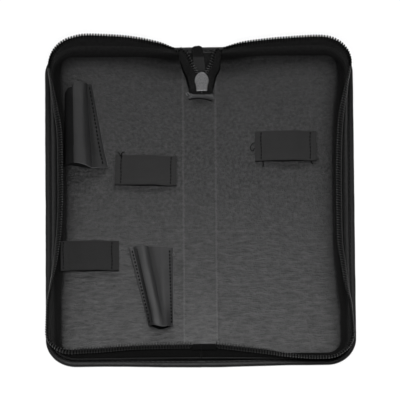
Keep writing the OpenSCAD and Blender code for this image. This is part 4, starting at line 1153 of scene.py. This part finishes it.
def make_tab():
    px, py, pz, turn, tl, tw = SLX, 84.8, 4.05, math.radians(7), 24.8, 7.0
    bag = Bag()

    def place(P):
        P = np.array(P, float)
        q = P.copy()
        q[..., 0] = px + P[..., 0] * math.cos(turn) - P[..., 1] * math.sin(turn)
        q[..., 1] = py + P[..., 0] * math.sin(turn) + P[..., 1] * math.cos(turn)
        return q

    a = np.linspace(0, np.pi / 2, 12)
    r = 2.6
    right = np.r_[[[2.5, 5.0]], [[2.7, 5.15]], [[3.3, 7.0]], [[3.5, 7.8]], [[3.5, 12]], [[3.5, 16]], np.stack([tw / 2 - r + r * np.cos(a), tl - r + r * np.sin(a)], -1)]
    ring = np.r_[right, right[::-1] * [-1, 1]]
    nxt, prv = np.roll(ring, -1, 0), np.roll(ring, 1, 0)
    t = unit(nxt - prv)
    nin = np.stack([-t[:, 1], t[:, 0]], -1)
    rings = []
    for w, z in ((0.3, 3.06), (0.08, 3.1), (0, 3.2), (0, 3.54), (0.1, 3.63), (0.35, 3.68), (0.9, 3.68), (1.0, 3.62), (1.15, 3.58)):
        q = ring + nin * w
        rings.append(np.column_stack([q, np.full(len(q), z)]))
    bag.net(place(rings), wrap=True, cap=True)
    for m in (-1, 1):
        c = m * 2.15
        for x0, x1, y0, y1, z0, z1 in ((c - 0.55, c + 0.55, -0.3, 5.8, 3.06, 3.68), (c - 0.55, c + 0.55, -0.3, 0.45, 3.06, 4.25)):
            rr = 0.14
            rings = [[[x0 + w, y0 + w, z], [x1 - w, y0 + w, z], [x1 - w, y1 - w, z], [x0 + w, y1 - w, z]] for w, z in ((rr, z0), (0, z0 + rr), (0, z1 - rr), (rr, z1))]
            bag.net(place(rings), wrap=True, cap=True)
    th = np.linspace(-2.7, 2.7, 12)
    path = place(np.stack([th, 0 * th, 0 * th + pz], -1))
    tt, sdv, up = frames(path, (0, 0, 1.0))
    bag.net(tube(path, sdv, up, 0.26, 0.26, n=10), wrap=True, cap=True)
    o = bag.out("tab_plate", M["enamel"], "tab_enamel")
    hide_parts("pull_tab")
    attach(o, "pull_tab")


def make_lip():
    """The raised lip of the slit in the spine's lining, curved in plan."""
    x = np.linspace(SLX - 8.6, SLX + 8.6, 41)
    base = 75.0 - 0.019 * x * x
    end = smooth(np.abs(x - SLX), 8.6, 6.8)
    prof = [(-0.9, 2.95), (-0.35, 3.25), (-0.1, 3.6), (0.25, 4.15), (0.9, 4.52), (1.6, 4.62), (2.0, 4.5), (2.1, 4.3), (1.9, 4.12), (1.2, 4.05), (0.5, 3.9), (0.2, 3.4), (0.1, 2.9)]
    P = np.zeros((len(x), len(prof), 3))
    for j, (dy, z) in enumerate(prof):
        P[:, j, 0] = x
        P[:, j, 1] = base + dy * (0.4 + 0.6 * end)
        P[:, j, 2] = 2.9 + (z - 2.9) * (0.15 + 0.85 * end) + 0.06 * np.sin(x * 0.9 + j)
    U, Vv = np.meshgrid(x, np.r_[72 + 0.35 * np.arange(len(prof) + 1)], indexing="ij")
    # the lip takes the pale vinyl as a painted highlight
    o = Bag().net(P, wrap=True, cap=True, uvs=(U, Vv)).out("slit_lip", M["lip"], "lining")
    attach(o, "spine")


for sd in (-1, 1):
    make_skin(sd)
    make_lining_half(sd)
    make_wall(sd)
    make_coils(sd)
    make_tail(sd)
make_lip()
make_slider()
make_tab()

# elastic loops with their stitch rows and loose thread ends
threads = {-1: Bag(), 1: Bag()}
for node, (cx, cy, turn, length, sew, sd) in LOOPS.items():
    place, a, sew, w, th = make_loop(node, cx, cy, turn, length, sew, sd)
    for x in (-a + (1.6 if cx < -60 else sew), a - sew):
        ys = (np.arange(8) + 0.5) / 8 * (w - 1) - (w - 1) / 2
        p = place(np.stack([x + 0.15 * np.sin(ys * 3), ys, 0 * ys + T + th + 0.06 + 0.7 * smooth(-ys, w / 2 - 5, w / 2)], -1))
        d = place(np.stack([0 * ys + x, ys + 1, 0 * ys], -1)) - place(np.stack([0 * ys + x, ys, 0 * ys], -1))
        capsules(threads[sd], p, d, np.tile([0, 0, 1.0], (8, 1)), 1.9, 0.3)


def strand(bag, pts, r=0.16, n=20):
    P = spline(np.array(pts, float)[:, None], np.linspace(0, len(pts) - 1, n))[:, 0]
    t, side, up = frames(P, (0, 0, 1.0))
    bag.net(tube(P, side, up, r, r, n=6), wrap=True, cap=True)


def px_xy(px, py, z):
    """Row-frame X and Y, in millimetres, of a place given by its column and row in the 400 by 400 frame, at height z."""
    dx, dy = px - 200, py - 207.8
    return [(dx - 0.008 * dy) * 0.618, (-(dy + 0.008 * dx) * 0.618 - 0.4256 * z) / 0.905, z]


tuft = [px_xy(122, 157, 4.2), px_xy(121.2, 154.6, 4.0), px_xy(122.4, 152.6, 3.5), px_xy(124.2, 151.8, 3.3)]
strand(threads[-1], tuft, 0.3)
strand(threads[-1], [px_xy(120.5, 156, 4.2), px_xy(119.3, 153.5, 3.7), px_xy(118.2, 152.6, 3.3)], 0.25)
strand(threads[1], [px_xy(263, 158, 4.1), px_xy(263, 161.5, 3.8), px_xy(263.3, 164, 3.3), px_xy(263.0, 166.6, 3.2)], 0.33)
strand(threads[1], [px_xy(311, 158, 4.1), px_xy(311.2, 161.4, 3.8), px_xy(312, 163.2, 3.3), px_xy(313.4, 163.6, 3.2)], 0.33)
strand(threads[1], [px_xy(255, 142.6, 3.6), px_xy(252.6, 143.6, 3.3), px_xy(250.4, 147, 3.2), px_xy(251.2, 150, 3.2), px_xy(253.2, 150.6, 3.25), px_xy(254.4, 148, 3.5)], 0.24)

# the crease below the slit's lip, drawn as a black line of painted shade; frayed cloth at its left end, and a knot at
# the lower sheath
fray = Bag()
strand(fray, [px_xy(187.6, 92.2, 3.6), px_xy(189, 93.4, 3.9), px_xy(190.4, 95.2, 3.7), px_xy(191.6, 96.4, 3.3)], 0.42)
strand(fray, [px_xy(186.0, 92.6, 3.3), px_xy(186.6, 94.2, 3.4), px_xy(188.0, 95.6, 3.3)], 0.26)
o = fray.out("frayed_cloth", M["fray"], "lining")
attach(o, "spine")
crease = Bag()
strand(crease, [px_xy(188.6, 99.2, 3.02), px_xy(194, 98.5, 3.04), px_xy(200, 98.3, 3.05), px_xy(206, 99.0, 3.04), px_xy(212.5, 100.8, 3.02)], 0.34, 40)
o = crease.out("slit_crease_painted_shade", M["thread"], "lining")
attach(o, "spine")
knot = Bag()
strand(knot, [px_xy(171.6, 250.6, 3.6), px_xy(173.6, 252.6, 3.7), px_xy(174.6, 254.8, 3.6), px_xy(173.2, 255.6, 3.8), px_xy(172.4, 253.8, 3.9)], 0.3)
strand(knot, [px_xy(128.6, 252.4, 3.3), px_xy(130.4, 250.6, 3.5), px_xy(132.4, 249.4, 3.7)], 0.24)
o = knot.out("sheath_knots", M["pale_thread"], "thread")
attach(o, "left_cover")

# sheaths
P1, top1 = make_sheath("upper_sheath", SHEATH_U,
                       (lambda u: 0.8 + 0.5 * np.sin(u * 5) - 4.0 * smooth(u, 0.34, 0.26) - 1.6 * smooth(u, 0.12, 0.0), lambda u: 0.9 * np.sin(u * 6.0 + 0.9) - 0.6 * u),
                       dark=lambda y: -78.3 + (80 - y) * 0.011, valley=([26, 83], [-66.3, -69.4]), tones=TONE_U)
P2, top2 = make_sheath("lower_sheath", SHEATH_L, (lambda u: 0.5 * np.sin(u * 4), lambda u: -0.5 - 2.9 * np.abs(np.sin(np.clip(u, 0, 1) * math.pi)) ** 1.5),
                       valley=([-81.2, -70, -56, -42, -28.8], [-22.9, -24.6, -26.9, -29.3, -31.7]), tones=TONE_L)


def seam(bag, top, frac, n, r=0.2):
    """Stitches along a sheath, lying on its outer surface at a fraction of its width from the left edge."""
    line = []
    for row in top:
        u = (row[:, 0] - row[0, 0]) / (row[-1, 0] - row[0, 0])
        line.append([np.interp(frac, u, row[:, i]) for i in range(3)])
    line = np.array(line)[2:-2]
    d = np.r_[0, np.cumsum(np.linalg.norm(np.diff(line, axis=0), axis=1))]
    q = d[-1] * (np.arange(n) + 0.5) / n
    at = lambda w: np.stack([np.interp(w, d, line[:, i]) for i in range(3)], -1)
    capsules(bag, at(q) + [0, 0, 0.12], at(q + 0.5) - at(q - 0.5), np.tile([0, 0, 1.0], (n, 1)), d[-1] / n * 0.66, r)


bag = Bag()
seam(bag, top1, 0.89, 20, 0.42)
seam(bag, top2, 0.065, 21, 0.47)
seam(bag, top2, 0.17, 34, 0.26)
seam(bag, top2, 0.92, 22, 0.46)
o = bag.out("sheath_stitches", M["thread"], "thread")
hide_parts("sheath_stitching")
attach(o, "left_cover")
o = threads[-1].out("left_loop_stitches", M["thread"], "thread")
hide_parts("left_loop_stitching")
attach(o, "left_cover")
o = threads[1].out("right_loop_stitches", M["thread"], "thread")
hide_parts("right_loop_stitching")
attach(o, "right_cover")

# ------------------------------------------------------------------ floor, camera, light
me = bpy.data.meshes.new("floor")
S = 6.0
me.from_pydata([(-S, -S, -0.0002), (S, -S, -0.0002), (S, S, -0.0002), (-S, S, -0.0002)], [], [(0, 1, 2, 3)])
floor = bpy.data.objects.new("floor", me)
bpy.context.scene.collection.objects.link(floor)
fm = Mat("studio_floor", (0.13, 0.13, 0.13), 0.9, 0.0)
fm.color(fm.mix(fm.noise(fm.place(), 0.01, 2), (0.125, 0.125, 0.125), (0.135, 0.135, 0.135)))
fm.set("Emission Color", (1, 1, 1, 1))
fm.set("Emission Strength", 0.88)
me.materials.append(fm.m)

SE, CE = 0.905, 0.4256
g = math.hypot(SE, CE)
SE, CE = SE / g, CE / g
D = 10.0
right0 = np.array([1.0, 0, 0])
up0 = np.array([0, SE, CE])
back = np.array([0, -CE, SE])
# the case lies turned by 0.008 rad in the picture, its right end up
roll = 0.008
right = right0 * math.cos(roll) + up0 * -math.sin(roll)
up = right0 * math.sin(roll) + up0 * math.cos(roll)
centre = up * (7.8 * 0.618 * 0.001)
from mathutils import Matrix, Vector
cam = bpy.data.objects.new("camera", bpy.data.cameras.new("camera"))
bpy.context.scene.collection.objects.link(cam)
eye = centre + back * D
cam.matrix_world = Matrix(((right[0], up[0], back[0], eye[0]), (right[1], up[1], back[1], eye[1]), (right[2], up[2], back[2], eye[2]), (0, 0, 0, 1)))
cam.data.sensor_width = 36
cam.data.lens = 18 / (0.1236 / D)
cam.data.clip_start, cam.data.clip_end = 0.1, 60
bpy.context.scene.camera = cam

world = bpy.data.worlds.new("world")
bpy.context.scene.world = world
world.use_nodes = True
sky = world.node_tree
sky.nodes["Background"].inputs[0].default_value = (1, 1, 1, 1)
way = sky.nodes.new("ShaderNodeTexCoord")
xyz = sky.nodes.new("ShaderNodeSeparateXYZ")
sky.links.new(way.outputs["Generated"], xyz.inputs[0])
ring = sky.nodes.new("ShaderNodeMapRange")
for key, value in (("From Min", 0.01), ("From Max", 0.05), ("To Min", 0.9), ("To Max", 0.15)):
    ring.inputs[key].default_value = value
sky.links.new(xyz.outputs[2], ring.inputs["Value"])
sky.links.new(ring.outputs["Result"], sky.nodes["Background"].inputs[1])


def area(name, loc, target, sx, sy, watts):
    d = bpy.data.lights.new(name, "AREA")
    d.shape = "RECTANGLE"
    d.size, d.size_y, d.energy = sx, sy, watts
    o = bpy.data.objects.new(name, d)
    bpy.context.scene.collection.objects.link(o)
    o.location = loc
    o.rotation_euler = (Vector(target) - Vector(loc)).to_track_quat("-Z", "Y").to_euler()
    return o


area("over_lower_end", (0, -0.1, 0.24), (0, -0.08, 0), 0.34, 0.14, 1.5)
area("back", (0, 0.55, 0.27), (0, 0.02, 0), 0.8, 0.16, 3.1)
area("top", (0, 0.1, 1.2), (0, 0, 0), 1.0, 1.0, 1.4)
bpy.context.scene.view_settings.view_transform = "Standard"
bpy.context.scene.view_settings.look = "None"
